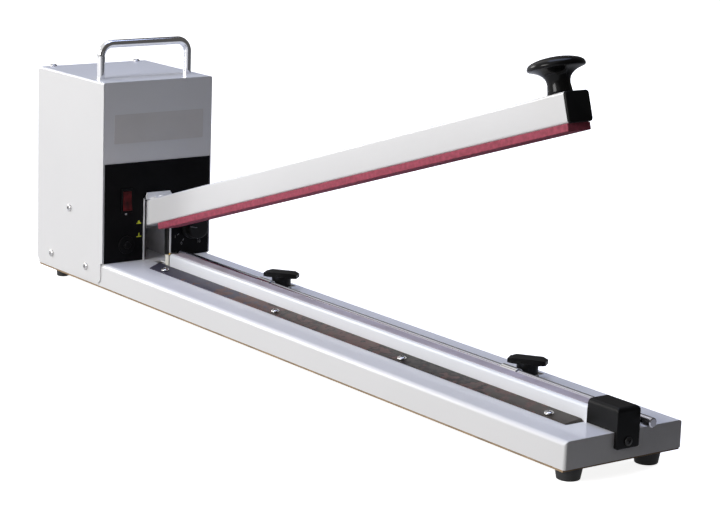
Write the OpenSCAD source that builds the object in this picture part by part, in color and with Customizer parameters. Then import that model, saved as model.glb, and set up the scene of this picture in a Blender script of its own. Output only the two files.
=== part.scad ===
// Long-arm impulse bag sealer for a shop counter.
// X runs along the base from the housing to the free end, Y across it, Z up from the floor.
// The modules work from the face of the control panel at X = 0, and at_origin moves the
// whole object so that the middle of its footprint lies on the origin.

/* [Base] */
// Width of the base tray
base_w = 123.6; // [116:0.1:132]
// Height of the base tray without its feet
base_h = 25; // [22:1:32]
// Sheet thickness of the base tray
base_sheet = 1.5; // [1.2:0.1:2]
// Outside radius of the long top edges
base_edge_r = 4.5; // [3:0.5:6]
// Radius of the upright corners at the free end
base_corner_r = 2.5; // [2.5:0.5:7]
// Height of the rubber feet
foot_h = 12; // [9:1:18]
// Diameter of the two feet at the free end
front_foot_d = 22; // [18:1:26]
// Diameter of the two feet under the housing
rear_foot_d = 14; // [12:1:18]

/* [Housing] */
// Depth of the housing along the base
housing_depth = 132; // [130:1:150]
// Height of the housing above the base
housing_h = 181; // [176:1:210]
// Sheet thickness of the housing
cover_sheet = 1; // [0.8:0.1:1.4]
// How far the cover laps down over the sides of the base
cover_lap = 21; // [16:1:22]
// Height of the black control panel
panel_h = 100; // [94:1:108]
// Distance of each leg of the carry handle from the side of the housing
handle_side = 12.9; // [9.9:0.1:20]
// Diameter of the carry handle's rod
handle_rod_d = 8; // [7:0.5:10]
// Height of the handle's middle line above the housing
handle_h = 34; // [30:1:45]

/* [Arm] */
// Side of the arm's square tube
arm_size = 25; // [23:0.5:26]
// Wall of the arm's tube
arm_wall = 1.5; // [1.2:0.1:2]
// Angle at which the return spring holds the arm
arm_lift = 17.6; // [14:0.1:18]
// Distance of the hinge pin behind the control panel
hinge_back = 44; // [42:1:47]
// Diameter of the hinge pin
hinge_pin_d = 8; // [6:0.5:9]
// Thickness of the silicone pad
pad_t = 6.3; // [5:0.1:7]
// Diameter of the lift knob's cap
lift_knob_d = 47.6; // [40:0.1:54]
// Height of the lift knob
lift_knob_h = 30.5; // [27:0.5:36]

/* [Sealing bar] */
// Length of the aluminium sealing bar
bar_len = 616; // [520:1:720]
// Distance of the bar's near end from the control panel
bar_start = 44; // [40:0.5:48]
// Height of the bar
bar_h = 14; // [13:0.5:15]
// Width of the bar's top
bar_top_w = 13; // [12:0.5:13.5]
// Thickness of the flange that the rod lies on
flange_t = 2.5; // [2:0.1:2.8]
// Width of the steel ramp in front of the bar
ramp_w = 18.5; // [16:0.5:21]
// Diameter of the clamp rod
rod_d = 8; // [7:0.5:8.5]
// How far the clamp rod stands out past the base
rod_over = 13; // [6:1:16]

/* [Controls] */
// Diameter of the timer knob
timer_knob_d = 26; // [22:1:28]
// Length of the timer knob
timer_knob_len = 14; // [12:1:18]
// Width of the rocker
rocker_w = 9.2; // [8:0.2:11]
// Height of the rocker
rocker_h = 19.6; // [17:0.2:21]
// Outer diameter of the breaker's ring
breaker_d = 18; // [16:0.5:20]

/* [Hidden] */
$fn = 48;

// One overrun serves all cuts, one gap all pieces that pass another, and half of it
// what stands beside another without moving
cut = 1;
gap = 0.3;
near = 0.15;
// One small step serves shoulders, dished faces, buried ends and the free depth under screws
ledge = 1;
// How far a screw stands out past the sheet that it holds
screw_through = 3;
// Radial clearance of a turning fit, and of a screw in its hole
turn_clear = 0.05;
screw_clear = 0.1;

// Levels above the floor
base_bottom = foot_h;
base_top = foot_h + base_h;
housing_top = base_top + housing_h;

// Layers on the sealing bar, and the hinge height that lets the pad close flat on them
tape_t = 0.2;
ribbon_t = 0.2;
ribbon_w = 5;
sheet_t = 0.25;
bar_top = base_top + bar_h;
seal_top = bar_top + tape_t + ribbon_t + sheet_t;
hinge_z = seal_top + gap + pad_t + arm_size / 2;

// Lengths along the base
block_len = 32;
block_flap_t = 3.5;
bar_end = bar_start + bar_len;
base_front = bar_end + block_len;
gland_out = 9;
gland_washer_t = 2;
rear_reach = housing_depth + gland_out;
front_reach = base_front + rod_over;
panel_x = (rear_reach - front_reach) / 2;

// Across the base
base_half = base_w / 2;
base_rear = -housing_depth + cover_sheet + near;
block_w = 24;
rod_side = 0.93;
cover_side = 0.1;
bar_front = -block_w / 2;
bar_back = bar_front + bar_top_w;
rod_y = block_w / 2 + rod_side + rod_d / 2;
rod_z = base_top + flange_t + sheet_t + near + rod_d / 2;
flange_rim = 1;
flange_back = rod_y + rod_d / 2 + flange_rim;
cover_half = base_half + cover_side + cover_sheet;
front_half = cover_half - cover_sheet - near;

// Helpers

module at_origin() {
    translate([panel_x, 0, 0]) children();
}

// Outline across the base, drawn out along X
module along_x(start, length) {
    translate([start, 0, 0]) rotate([90, 0, 90]) linear_extrude(length) children();
}

// Outline along the base, drawn out along Y
module along_y(start, length) {
    translate([0, start + length, 0]) rotate([90, 0, 0]) linear_extrude(length) children();
}

module round_x(x, y, z, d, length) {
    translate([x, y, z]) rotate([0, 90, 0]) cylinder(h = length, d = d);
}

module round_y(x, y, z, d, length) {
    translate([x, y, z]) rotate([-90, 0, 0]) cylinder(h = length, d = d);
}

module round_z(x, y, z, d, length) {
    translate([x, y, z]) cylinder(h = length, d = d);
}

module block(x, y, z, size) {
    translate([x, y, z]) cube(size);
}

function arc(cx, cy, r, from, to, steps = 6) =
    [for (i = [0:steps]) let (a = from + (to - from) * i / steps) [cx + r * cos(a), cy + r * sin(a)]];

// Rectangle with rounded corners, from its lower left corner
module soft_rect(x, y, w, h, r) {
    polygon(concat(
        arc(x + w - r, y + h - r, r, 0, 90),
        arc(x + r, y + h - r, r, 90, 180),
        arc(x + r, y + r, r, 180, 270),
        arc(x + w - r, y + r, r, 270, 360)));
}

// Outline of an upside-down tray with rounded top corners
module tray_outline(half, low, high, r) {
    polygon(concat(
        [[-half, low], [half, low]],
        arc(half - r, high - r, r, 0, 90),
        arc(-half + r, high - r, r, 90, 180)));
}

// Pan-head screw with a cross recess: its seat is at Z = 0 and its head above that
cross_w = 0.8;
head_round_share = 0.6;
module pan_screw(d, head_d, head_h, length) {
    round_r = head_h * head_round_share;
    difference() {
        union() {
            rotate_extrude() polygon(concat(
                [[0, -length], [d / 2, -length], [d / 2, 0], [head_d / 2, 0]],
                arc(head_d / 2 - round_r, head_h - round_r, round_r, 0, 90, 4),
                [[0, head_h]]));
        }
        for (a = [0, 90])
            rotate([0, 0, a])
                translate([-head_d / 4, -cross_w / 2, head_h / 2])
                    cube([head_d / 2, cross_w, head_h]);
    }
}

// Round tube swept through points, with its rings carried along without twist
function unit(v) = v / norm(v);
function heading(p, i) = unit(p[min(i + 1, len(p) - 1)] - p[max(i - 1, 0)]);
function square_to(n, t) = unit(n - (n * t) * t);
function frames(p, n, i = 0) = i == len(p) ? [] :
    let (m = square_to(n, heading(p, i))) concat([m], frames(p, m, i + 1));
function tube_points(p, r, sides, first) =
    let (ns = frames(p, first))
    [for (i = [0:len(p) - 1])
        let (t = heading(p, i), n = ns[i], b = cross(t, n))
        for (k = [0:sides - 1]) p[i] + r * (cos(360 * k / sides) * n + sin(360 * k / sides) * b)];
function band(i, sides) =
    [for (k = [0:sides - 1]) let (a = i * sides + k, b = i * sides + (k + 1) % sides)
        each [[a, a + sides, b], [b, a + sides, b + sides]]];
function end_fan(start, sides, first_end) =
    [for (k = [1:sides - 2]) first_end
        ? [start, start + k, start + k + 1]
        : [start, start + k + 1, start + k]];
module tube(p, r, sides, first) {
    rings = len(p);
    polyhedron(
        points = tube_points(p, r, sides, first),
        faces = concat(
            [for (i = [0:rings - 2]) each band(i, sides)],
            end_fan(0, sides, true),
            end_fan((rings - 1) * sides, sides, false)));
}

// Places of screws, slots and feet that two or more pieces share

foot_screw_d = 4;
foot_front_inset = 17.5;
foot_rear_inset = 15;
foot_side_inset = 20.6;
foot_y = base_half - foot_side_inset;
foot_xs = [base_front - foot_front_inset, -housing_depth + foot_rear_inset];

ramp_screw_d = 3;
ramp_screw_inset = 56.7;
ramp_screw_end = 29.7;
ramp_screw_count = 4;
ramp_screw_share = 0.7;
ramp_screw_pitch = (bar_end - ramp_screw_end - ramp_screw_inset) / (ramp_screw_count - 1);
ramp_back = bar_front - gap;
ramp_screw_y = ramp_back - ramp_screw_share * ramp_w;

stud_d = 6;
stud_out = 14;
stud_y = rod_y + rod_d / 2 + stud_out;
clamp_start = 170;
clamp_end = 127;
clamp_xs = [clamp_start, bar_end - clamp_end];

bar_screw_d = 4;
bar_screw_inset = 60;
bar_screw_xs = [bar_start + bar_screw_inset, (bar_start + bar_end) / 2, bar_end - bar_screw_inset];
bar_mid_y = bar_front + bar_top_w / 2;

side_screw_d = 4;
side_high_up = 45.7;
side_low_down = 8;
side_rear_inset = 30.1;
side_front_inset = 32.4;
side_high_x = -housing_depth / 2;
side_high_z = base_top + side_high_up;
side_low_z = base_top - side_low_down;
side_low_xs = [-housing_depth + side_rear_inset, -side_front_inset];

bracket_sheet = 1.5;
slide_side = 0.4;
strip_t = 2;
bracket_inner = arm_size / 2 + slide_side + strip_t;
bracket_outer = bracket_inner + bracket_sheet;
bracket_h = 62.5;
bracket_len = 75;
bracket_foot_w = 12;
bracket_foot_inset = 15;
bracket_screw_d = 4;
bracket_screw_inset = 8;
bracket_screw_xs = [-bracket_len + bracket_screw_inset, -bracket_foot_inset - bracket_screw_inset];
bracket_screw_y = bracket_outer + bracket_foot_w / 2;
slot_half = bracket_outer + near;
slot_over = 2.5;
slot_h = bracket_h + slot_over;

tail_clear = 26;
tail_len = housing_depth - hinge_back - tail_clear;
peg_inset = 8;
peg_u = peg_inset - tail_len;
peg_d = 5;
spring_mid_x = -hinge_back + peg_u * (1 + cos(arm_lift)) / 2;
spring_slot = 18;

block_screw_d = 4;
block_screw_down = 7.7;
block_screw_z = base_top - block_screw_down;

wire_hole_d = 9;
wire_hole_x = -36;
wire_hole_side = 19.8;
wire_hole_y = base_half - wire_hole_side;
post_gap = 6.5;
end_gap = 0.4;
post_len = 6;
post_x = bar_start - post_gap - post_len / 2;
heater_wire_d = 3;
// Slot beside the first post, through which its screw and lead are reached
lead_slot_x = 11;
lead_slot_len = 11;
lead_slot_w = 9;

shelf_side = 15.8;
shelf_half = base_half - shelf_side;
shelf_sheet = 1.5;
shelf_back = 20;
shelf_rear = -housing_depth + shelf_back;
shelf_front = -42;
shelf_h = 80;
shelf_foot_w = 10;
shelf_screw_d = 4;
shelf_screw_inset = 10;
shelf_screw_xs = [shelf_rear + shelf_screw_inset, shelf_front - shelf_screw_inset];
shelf_screw_y = shelf_half + shelf_foot_w / 2;

// Base

lip_w = 9;
bottom_t = 2;
bottom_inset = 0.8;
tray_low = base_bottom + bottom_t;

module tray_plan(half, rear, front, r) {
    polygon(concat(
        [[rear, half], [rear, -half]],
        arc(front - r, -half + r, r, -90, 0),
        arc(front - r, half - r, r, 0, 90)));
}

module tray_solid(inset, low) {
    r = base_edge_r - inset;
    intersection() {
        along_x(base_rear + inset, base_front - base_rear - 2 * inset)
            tray_outline(base_half - inset, low, base_top - inset, r);
        translate([0, 0, low]) linear_extrude(base_h)
            tray_plan(base_half - inset, base_rear + inset, base_front - inset, base_corner_r - inset);
    }
}

module tray_holes() {
    low = base_top - 2 * base_sheet;
    deep = 3 * base_sheet;
    block(spring_mid_x - spring_slot / 2, -spring_slot / 2, low, [spring_slot, spring_slot, deep]);
    block(lead_slot_x, ribbon_y - lead_slot_w / 2, low, [lead_slot_len, lead_slot_w, deep]);
    for (s = [-1, 1])
        round_z(wire_hole_x, s * wire_hole_y, low, wire_hole_d, deep);
    for (x = [post_x, end_post_x])
        round_z(x, bar_mid_y, low, heater_wire_d + 2 * gap, deep);
    for (i = [0:ramp_screw_count - 1])
        round_z(ramp_screw_inset + i * ramp_screw_pitch, ramp_screw_y, low,
            ramp_screw_d + 2 * screw_clear, deep);
    for (x = clamp_xs)
        round_z(x, stud_y, low, stud_d + 2 * screw_clear, deep);
    for (x = bar_screw_xs)
        round_z(x, bar_mid_y, low, bar_screw_d + 2 * screw_clear, deep);
    for (x = bracket_screw_xs, s = [-1, 1])
        round_z(x, s * bracket_screw_y, low, bracket_screw_d + 2 * screw_clear, deep);
    for (x = shelf_screw_xs, s = [-1, 1])
        round_z(x, s * shelf_screw_y, low, shelf_screw_d + 2 * screw_clear, deep);
    for (x = side_low_xs)
        round_y(x, -base_half - cut, side_low_z, side_screw_d + 2 * screw_clear, base_w + 2 * cut);
    round_x(base_front - 2 * base_sheet, 0, block_screw_z,
        block_screw_d + 2 * screw_clear, 3 * base_sheet);
}

module base_tray() {
    color([0.93, 0.93, 0.95]) at_origin()
    difference() {
        union() {
            difference() {
                tray_solid(0, tray_low);
                tray_solid(base_sheet, tray_low - cut);
            }
            // Lips folded in along the bottom carry the bottom plate
            for (s = [-1, 1])
                block(base_rear + base_sheet, s > 0 ? base_half - lip_w : -base_half + base_sheet / 2,
                    tray_low, [base_front - base_rear - base_sheet - base_corner_r,
                    lip_w - base_sheet / 2, base_sheet]);
        }
        tray_holes();
    }
}

module place_feet(xs) {
    for (x = xs, s = [-1, 1])
        translate([x, s * foot_y, base_bottom]) children();
}

module bottom_plate() {
    color([0.62, 0.48, 0.3]) at_origin()
    difference() {
        block(base_rear + bottom_inset, -base_half + bottom_inset, base_bottom,
            [base_front - base_rear - 2 * bottom_inset - base_corner_r / 2,
             base_w - 2 * bottom_inset, bottom_t]);
        place_feet(foot_xs) translate([0, 0, -cut])
            cylinder(h = bottom_t + 2 * cut, d = foot_screw_d + 2 * screw_clear);
    }
}

// Rubber foot that tapers to the floor, hollow below for the head of its screw
foot_taper_share = 0.88;
foot_rim = 1;
foot_head_d = 7;
foot_head_h = 2.4;
foot_seat_share = 0.5;
module rubber_foot(d) {
    low_r = d * foot_taper_share / 2;
    seat = foot_h * foot_seat_share;
    difference() {
        rotate_extrude() polygon([[0, 0], [d / 2, 0], [low_r, -foot_h + foot_rim],
            [low_r - foot_rim, -foot_h], [0, -foot_h]]);
        translate([0, 0, -foot_h - cut])
            cylinder(h = foot_h - seat + cut, d = foot_head_d + 2 * screw_clear);
        translate([0, 0, -foot_h - cut])
            cylinder(h = foot_h + 2 * cut, d = foot_screw_d + 2 * screw_clear);
    }
}

module front_feet() {
    color([0.07, 0.07, 0.07]) at_origin() place_feet([foot_xs[0]]) rubber_foot(front_foot_d);
}

module rear_feet() {
    color([0.07, 0.07, 0.07]) at_origin() place_feet([foot_xs[1]]) rubber_foot(rear_foot_d);
}

foot_nut_d = 8;
foot_nut_h = 3;
module foot_screws() {
    color([0.8, 0.8, 0.82]) at_origin()
    place_feet(foot_xs) {
        translate([0, 0, -foot_h * foot_seat_share]) rotate([180, 0, 0])
            pan_screw(foot_screw_d, foot_head_d, foot_head_h,
                foot_h * foot_seat_share + bottom_t + foot_nut_h / 2);
        translate([0, 0, bottom_t]) cylinder(h = foot_nut_h, d = foot_nut_d);
    }
}

// Housing

corner_cut = 4;
cover_step = 4.4;
panel_t = 0.8;
face_x = -panel_t;
cover_round = 2;
top_screw_inset = 6.5;
top_screw_x = -housing_depth + top_screw_inset;
top_screw_side = 12.8;
top_screw_y = base_half - top_screw_side;
cover_screw_d = 4;
handle_x = -28.5;
handle_half = cover_half - handle_side;
handle_screw_d = 5;

module cover_side_outline() {
    polygon([
        [-housing_depth, base_top - cover_lap + corner_cut],
        [-housing_depth + corner_cut, base_top - cover_lap],
        [-cover_step - corner_cut, base_top - cover_lap],
        [-cover_step, base_top - cover_lap + corner_cut],
        [-cover_step, base_top],
        [face_x, base_top + gap],
        [face_x, housing_top],
        [-housing_depth + corner_cut, housing_top],
        [-housing_depth, housing_top - corner_cut]]);
}

module housing_cover() {
    inner = cover_half - cover_sheet;
    color([0.94, 0.94, 0.95]) at_origin()
    difference() {
        intersection() {
            along_x(-housing_depth - cut, housing_depth + 2 * cut)
                tray_outline(cover_half, base_top - cover_lap - cut, housing_top, cover_round);
            along_y(-cover_half, 2 * cover_half) cover_side_outline();
        }
        block(-housing_depth - cut, -inner, base_bottom,
            [housing_depth + 2 * cut, 2 * inner, housing_top - cover_sheet - base_bottom]);
        block(-housing_depth - cut, -inner, base_bottom,
            [corner_cut + cut, 2 * inner, housing_top]);
        for (x = side_low_xs)
            round_y(x, -cover_half - cut, side_low_z, side_screw_d + 2 * screw_clear,
                2 * (cover_half + cut));
        round_y(side_high_x, -cover_half - cut, side_high_z, side_screw_d + 2 * screw_clear,
            2 * (cover_half + cut));
        for (s = [-1, 1]) {
            round_z(top_screw_x, s * top_screw_y, housing_top - 2 * cover_sheet,
                cover_screw_d + 2 * screw_clear, 3 * cover_sheet);
            round_z(handle_x, s * handle_half, housing_top - 2 * cover_sheet,
                handle_screw_d + 2 * screw_clear, 3 * cover_sheet);
        }
    }
}

// Controls on the panel
control_side = 25.8;
rocker_y = control_side - base_half;
rocker_up = 62;
breaker_y = control_side - base_half;
breaker_up = 17.5;
timer_side = 22.3;
timer_y = base_half - timer_side;
timer_up = 30.5;
bezel = 1.4;
rocker_cut_w = rocker_w + bezel;
rocker_cut_h = rocker_h + 2 * bezel;
breaker_neck_d = 11;
pot_bush_d = 9;
slot_chamfer = 2.5;

module panel_cutouts(low) {
    polygon([[-slot_half, low], [slot_half, low],
        [slot_half, base_top + slot_h - slot_chamfer], [slot_half - slot_chamfer, base_top + slot_h],
        [-slot_half + slot_chamfer, base_top + slot_h], [-slot_half, base_top + slot_h - slot_chamfer]]);
    translate([rocker_y - rocker_cut_w / 2 - near, base_top + rocker_up - rocker_cut_h / 2 - near])
        square([rocker_cut_w + 2 * near, rocker_cut_h + 2 * near]);
}

module panel_bores(x, length) {
    round_x(x, breaker_y, base_top + breaker_up, breaker_neck_d + 2 * screw_clear, length);
    round_x(x, timer_y, base_top + timer_up, pot_bush_d + 2 * screw_clear, length);
}

front_foot_len = 10;
module front_plate() {
    inner_x = face_x - cover_sheet;
    color([0.8, 0.79, 0.79]) at_origin()
    difference() {
        union() {
            along_x(inner_x, cover_sheet) difference() {
                translate([-front_half, base_top])
                    square([2 * front_half, housing_h - cover_sheet]);
                panel_cutouts(base_top - cut);
            }
            // Foot folded back over the base on both sides of the arm's slot
            for (s = [-1, 1])
                block(inner_x - front_foot_len, s > 0 ? slot_half : -front_half, base_top,
                    [front_foot_len + cover_sheet / 2, front_half - slot_half, cover_sheet]);
        }
        panel_bores(inner_x - cut, cover_sheet + 2 * cut);
    }
}

panel_side_inset = 0.8;
module control_panel() {
    half = front_half - panel_side_inset;
    color([0.05, 0.05, 0.055]) at_origin()
    difference() {
        along_x(face_x, panel_t) difference() {
            translate([-half, base_top + gap]) square([2 * half, panel_h - gap]);
            panel_cutouts(base_top - cut);
        }
        panel_bores(face_x - cut, panel_t + 2 * cut);
    }
}

label_side = 10.25;
label_w = 2 * (front_half - label_side);
label_h = 29;
label_up = 119.7;
label_t = 0.15;
label_corner = 1;
module label_sticker() {
    color([0.78, 0.77, 0.75]) at_origin()
    along_x(face_x, label_t)
        soft_rect(-label_w / 2 + label_corner, base_top + label_up, label_w, label_h, label_corner);
}

gland_d = 18;
gland_bore_d = 7.5;
gland_inside = 5;
gland_nut_d = 17;
rear_flange = 12;
gland_neck_d = 12;
gland_side = 25.8;
gland_y = gland_side - base_half;
gland_up = 22;
vent_w = 2.4;
vent_len = 34;
vent_pitch = 7;
vent_rows = 6;
vent_up = 100;
vent_mid = 24;
module rear_panel() {
    rear = -housing_depth;
    low = base_top + near;
    turn = rear + corner_cut;
    color([0.9, 0.9, 0.92]) at_origin()
    difference() {
        along_y(-front_half, 2 * front_half) polygon([
            [rear, low],
            [rear + cover_sheet, low],
            [rear + cover_sheet, housing_top - corner_cut - cover_sheet],
            [turn, housing_top - 2 * cover_sheet],
            [turn + rear_flange, housing_top - 2 * cover_sheet],
            [turn + rear_flange, housing_top - cover_sheet],
            [turn, housing_top - cover_sheet],
            [turn, housing_top],
            [rear, housing_top - corner_cut]]);
        for (s = [-1, 1])
            round_z(top_screw_x, s * top_screw_y, housing_top - 3 * cover_sheet,
                cover_screw_d + 2 * screw_clear, 3 * cover_sheet);
        round_x(rear - cut, gland_y, base_top + gland_up, gland_neck_d + 2 * screw_clear,
            cover_sheet + 2 * cut);
        for (i = [0:vent_rows - 1], s = [-1, 1])
            block(rear - cut, s * vent_mid - vent_len / 2, base_top + vent_up + i * vent_pitch,
                [cover_sheet + 2 * cut, vent_len, vent_w]);
    }
}

cover_head_d = 7.4;
cover_head_h = 2.2;
cover_screw_len = 7;
module cover_screws() {
    color([0.82, 0.82, 0.84]) at_origin() {
        for (s = [-1, 1]) {
            translate([top_screw_x, s * top_screw_y, housing_top])
                pan_screw(cover_screw_d, cover_head_d, cover_head_h, cover_screw_len);
            for (p = [[side_high_x, side_high_z], [side_low_xs[0], side_low_z], [side_low_xs[1], side_low_z]])
                translate([p[0], s * cover_half, p[1]]) rotate([-s * 90, 0, 0])
                    pan_screw(side_screw_d, cover_head_d, cover_head_h, cover_screw_len);
        }
    }
}

handle_bend_r = 12;
handle_tap_deep = 10;
handle_hole_clear = 0.05;
module carry_handle() {
    half = handle_half;
    leg = handle_h - handle_bend_r;
    color([0.85, 0.85, 0.87]) at_origin()
    difference() {
        translate([handle_x, 0, housing_top]) union() {
            for (s = [-1, 1]) {
                translate([0, s * half, 0]) cylinder(h = leg, d = handle_rod_d);
                translate([0, s * (half - handle_bend_r), leg])
                    rotate([90, 0, s * 90])
                        rotate_extrude(angle = 90)
                            translate([handle_bend_r, 0]) circle(d = handle_rod_d);
            }
            translate([0, -half + handle_bend_r, handle_h]) rotate([-90, 0, 0])
                cylinder(h = 2 * (half - handle_bend_r), d = handle_rod_d);
        }
        for (s = [-1, 1])
            round_z(handle_x, s * half, housing_top - cut,
                handle_screw_d + 2 * handle_hole_clear, handle_tap_deep + cut);
    }
}

handle_head_d = 9;
handle_head_h = 2.6;
module handle_screws() {
    color([0.75, 0.75, 0.77]) at_origin()
    for (s = [-1, 1])
        translate([handle_x, s * handle_half, housing_top - cover_sheet]) rotate([180, 0, 0])
            pan_screw(handle_screw_d, handle_head_d, handle_head_h, cover_sheet + handle_tap_deep - ledge);
}

// Hinge bracket and arm

web_h = 10;
bracket_nose = 0.5;
module hinge_bracket() {
    color([0.93, 0.93, 0.95]) at_origin()
    difference() {
        union() {
            for (s = [-1, 1]) {
                block(-bracket_len, s > 0 ? bracket_inner : -bracket_outer, base_top,
                    [bracket_len + bracket_nose, bracket_sheet, bracket_h]);
                block(-bracket_len, s > 0 ? bracket_inner : -bracket_outer - bracket_foot_w, base_top,
                    [bracket_len - bracket_foot_inset, bracket_sheet + bracket_foot_w, bracket_sheet]);
            }
            block(-bracket_len, -bracket_outer, base_top + bracket_h - web_h,
                [bracket_sheet, 2 * bracket_outer, web_h]);
        }
        round_y(-hinge_back, -bracket_outer - cut, hinge_z, hinge_pin_d + 2 * turn_clear,
            2 * (bracket_outer + cut));
        for (x = bracket_screw_xs, s = [-1, 1])
            round_z(x, s * bracket_screw_y, base_top - cut, bracket_screw_d + 2 * screw_clear,
                bracket_sheet + 2 * cut);
    }
}

inner_head_d = 7;
inner_head_h = 2.2;
module bracket_screws() {
    deep = bracket_sheet + base_sheet + screw_through;
    color([0.8, 0.8, 0.82]) at_origin()
    for (s = [-1, 1]) {
        for (x = bracket_screw_xs)
            translate([x, s * bracket_screw_y, base_top + bracket_sheet])
                pan_screw(bracket_screw_d, inner_head_d, inner_head_h, deep);
        for (x = shelf_screw_xs)
            translate([x, s * shelf_screw_y, base_top + shelf_sheet])
                pan_screw(shelf_screw_d, inner_head_d, inner_head_h, deep);
    }
}

strip_w = 6;
strip_nose = 0.5;
strip_low = 2;
strip_high = 2;
module guide_strips() {
    color([0.06, 0.06, 0.06]) at_origin()
    for (s = [-1, 1])
        block(-strip_nose - strip_w, s > 0 ? bracket_inner - strip_t : -bracket_inner,
            base_top + strip_low, [strip_w, strip_t, bracket_h - strip_low - strip_high]);
}

pin_over = 3;
clip_t = 1;
clip_w = 2.2;
clip_gap = 0.1;
groove_deep = 0.5;
pin_half = bracket_outer + pin_over;
module hinge_pin() {
    groove_at = bracket_outer + clip_gap;
    color([0.75, 0.75, 0.77]) at_origin()
    translate([-hinge_back, 0, hinge_z]) rotate([90, 0, 0]) difference() {
        translate([0, 0, -pin_half]) cylinder(h = 2 * pin_half, d = hinge_pin_d);
        for (s = [-1, 1])
            translate([0, 0, s > 0 ? groove_at : -groove_at - clip_t - clip_gap])
                difference() {
                    cylinder(h = clip_t + clip_gap, d = hinge_pin_d + cut);
                    translate([0, 0, -cut])
                        cylinder(h = clip_t + 2 * cut, d = hinge_pin_d - 2 * groove_deep);
                }
    }
}

module hinge_clips() {
    clip_at = bracket_outer + 1.5 * clip_gap;
    color([0.35, 0.35, 0.37]) at_origin()
    for (s = [-1, 1])
        translate([-hinge_back, s > 0 ? -clip_at : clip_at + clip_t, hinge_z]) rotate([90, 0, 0])
            difference() {
                cylinder(h = clip_t, d = hinge_pin_d + 2 * clip_w);
                translate([0, 0, -cut])
                    cylinder(h = clip_t + 2 * cut, d = hinge_pin_d - 2 * groove_deep + 2 * turn_clear);
                translate([0, -hinge_pin_d / 4, -cut])
                    cube([hinge_pin_d, hinge_pin_d / 2, clip_t + 2 * cut]);
            }
}

// The arm's pieces are drawn lying along X from the hinge and turned up to their rest
module on_arm() {
    at_origin() translate([-hinge_back, 0, hinge_z]) rotate([0, -arm_lift, 0]) children();
}

block_shut_gap = 9;
cap_flange = 2.5;
arm_len = bar_end + hinge_back - cap_flange - block_shut_gap;
arm_half = arm_size / 2;
sleeve_wall = 2.5;
sleeve_d = hinge_pin_d + 2 * turn_clear + 2 * sleeve_wall;
knob_inset = 17.5;
knob_u = arm_len - knob_inset;
knob_screw_d = 8;
stop_u = 53;
stop_screw_d = 4;
stop_foot = 12;
spring_mouth = 14;
module arm_tube() {
    inner = arm_size - 2 * arm_wall;
    color([0.94, 0.94, 0.95]) on_arm()
    difference() {
        block(-tail_len, -arm_half, -arm_half, [tail_len + arm_len, arm_size, arm_size]);
        block(-tail_len - cut, -inner / 2, -inner / 2, [tail_len + arm_len + 2 * cut, inner, inner]);
        round_y(0, -arm_size, 0, sleeve_d + 2 * screw_clear, 2 * arm_size);
        round_y(peg_u, -arm_size, 0, peg_d + 2 * screw_clear, 2 * arm_size);
        block(-tail_len - cut, -spring_mouth / 2, -arm_half - cut,
            [tail_len + peg_u + cut + spring_mouth, spring_mouth, arm_half]);
        round_z(knob_u, 0, 0, knob_screw_d + 2 * screw_clear, arm_size);
        round_z(stop_u + stop_foot / 2, 0, 0, stop_screw_d + 2 * screw_clear, arm_size);
    }
}

module hinge_sleeve() {
    half = bracket_inner - gap;
    color([0.72, 0.6, 0.35]) on_arm()
    rotate([90, 0, 0]) difference() {
        translate([0, 0, -half]) cylinder(h = 2 * half, d = sleeve_d);
        translate([0, 0, -half - cut]) cylinder(h = 2 * (half + cut), d = hinge_pin_d + 2 * turn_clear);
    }
}

cap_plug = 9;
cap_wall = 2;
cap_corner = 3;
module arm_end_cap() {
    plug = arm_size - 2 * arm_wall - 2 * near;
    color([0.05, 0.05, 0.05]) on_arm()
    difference() {
        union() {
            along_x(arm_len, cap_flange)
                soft_rect(-arm_half, -arm_half, arm_size, arm_size, cap_corner);
            block(arm_len - cap_plug, -plug / 2, -plug / 2, [cap_plug, plug, plug]);
        }
        block(arm_len - cap_plug - cut, -plug / 2 + cap_wall, -plug / 2 + cap_wall,
            [cap_plug + cut, plug - 2 * cap_wall, plug - 2 * cap_wall]);
    }
}

pad_w = 24;
pad_start = 62.7;
pad_end_inset = 1;
module sealing_pad() {
    color([0.7, 0.33, 0.42]) on_arm()
    block(pad_start, -pad_w / 2, -arm_half - pad_t,
        [arm_len - pad_end_inset - pad_start, pad_w, pad_t]);
}

// Mushroom knob: a waisted neck under a domed cap
knob_foot_share = 0.44;
knob_neck_share = 0.4;
knob_rim_share = 0.74;
knob_cup_share = 0.6;
knob_rim_r = 2;
knob_bore_deep = 16;
module lift_knob() {
    cap_r = lift_knob_d / 2;
    foot_r = cap_r * knob_foot_share;
    neck_r = cap_r * knob_neck_share;
    rim_z = lift_knob_h * knob_rim_share;
    dome = lift_knob_h - rim_z;
    color([0.04, 0.04, 0.04]) on_arm()
    translate([knob_u, 0, arm_half]) difference() {
        rotate_extrude() polygon(concat(
            [[0, 0], [foot_r, 0], [neck_r, rim_z / 3]],
            [for (i = [0:6]) [neck_r + (cap_r - knob_rim_r - neck_r) * (1 - cos(i * 15)),
                rim_z / 3 + (rim_z * knob_cup_share - knob_rim_r) * sin(i * 15)]],
            arc(cap_r - knob_rim_r, rim_z, knob_rim_r, -60, 60, 5),
            [for (i = [1:8]) [(cap_r - knob_rim_r) * cos(i * 11.25),
                rim_z + knob_rim_r + (dome - knob_rim_r) * sin(i * 11.25)]]));
        translate([0, 0, -cut]) cylinder(h = knob_bore_deep + cut, d = knob_screw_d + 2 * screw_clear);
    }
}

knob_head_h = 3.4;
knob_head_d = 13;
module lift_knob_screw() {
    color([0.75, 0.75, 0.77]) on_arm()
    translate([knob_u, 0, arm_half - arm_wall]) rotate([180, 0, 0])
        pan_screw(knob_screw_d, knob_head_d, knob_head_h, arm_wall + knob_bore_deep - ledge);
}

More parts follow.
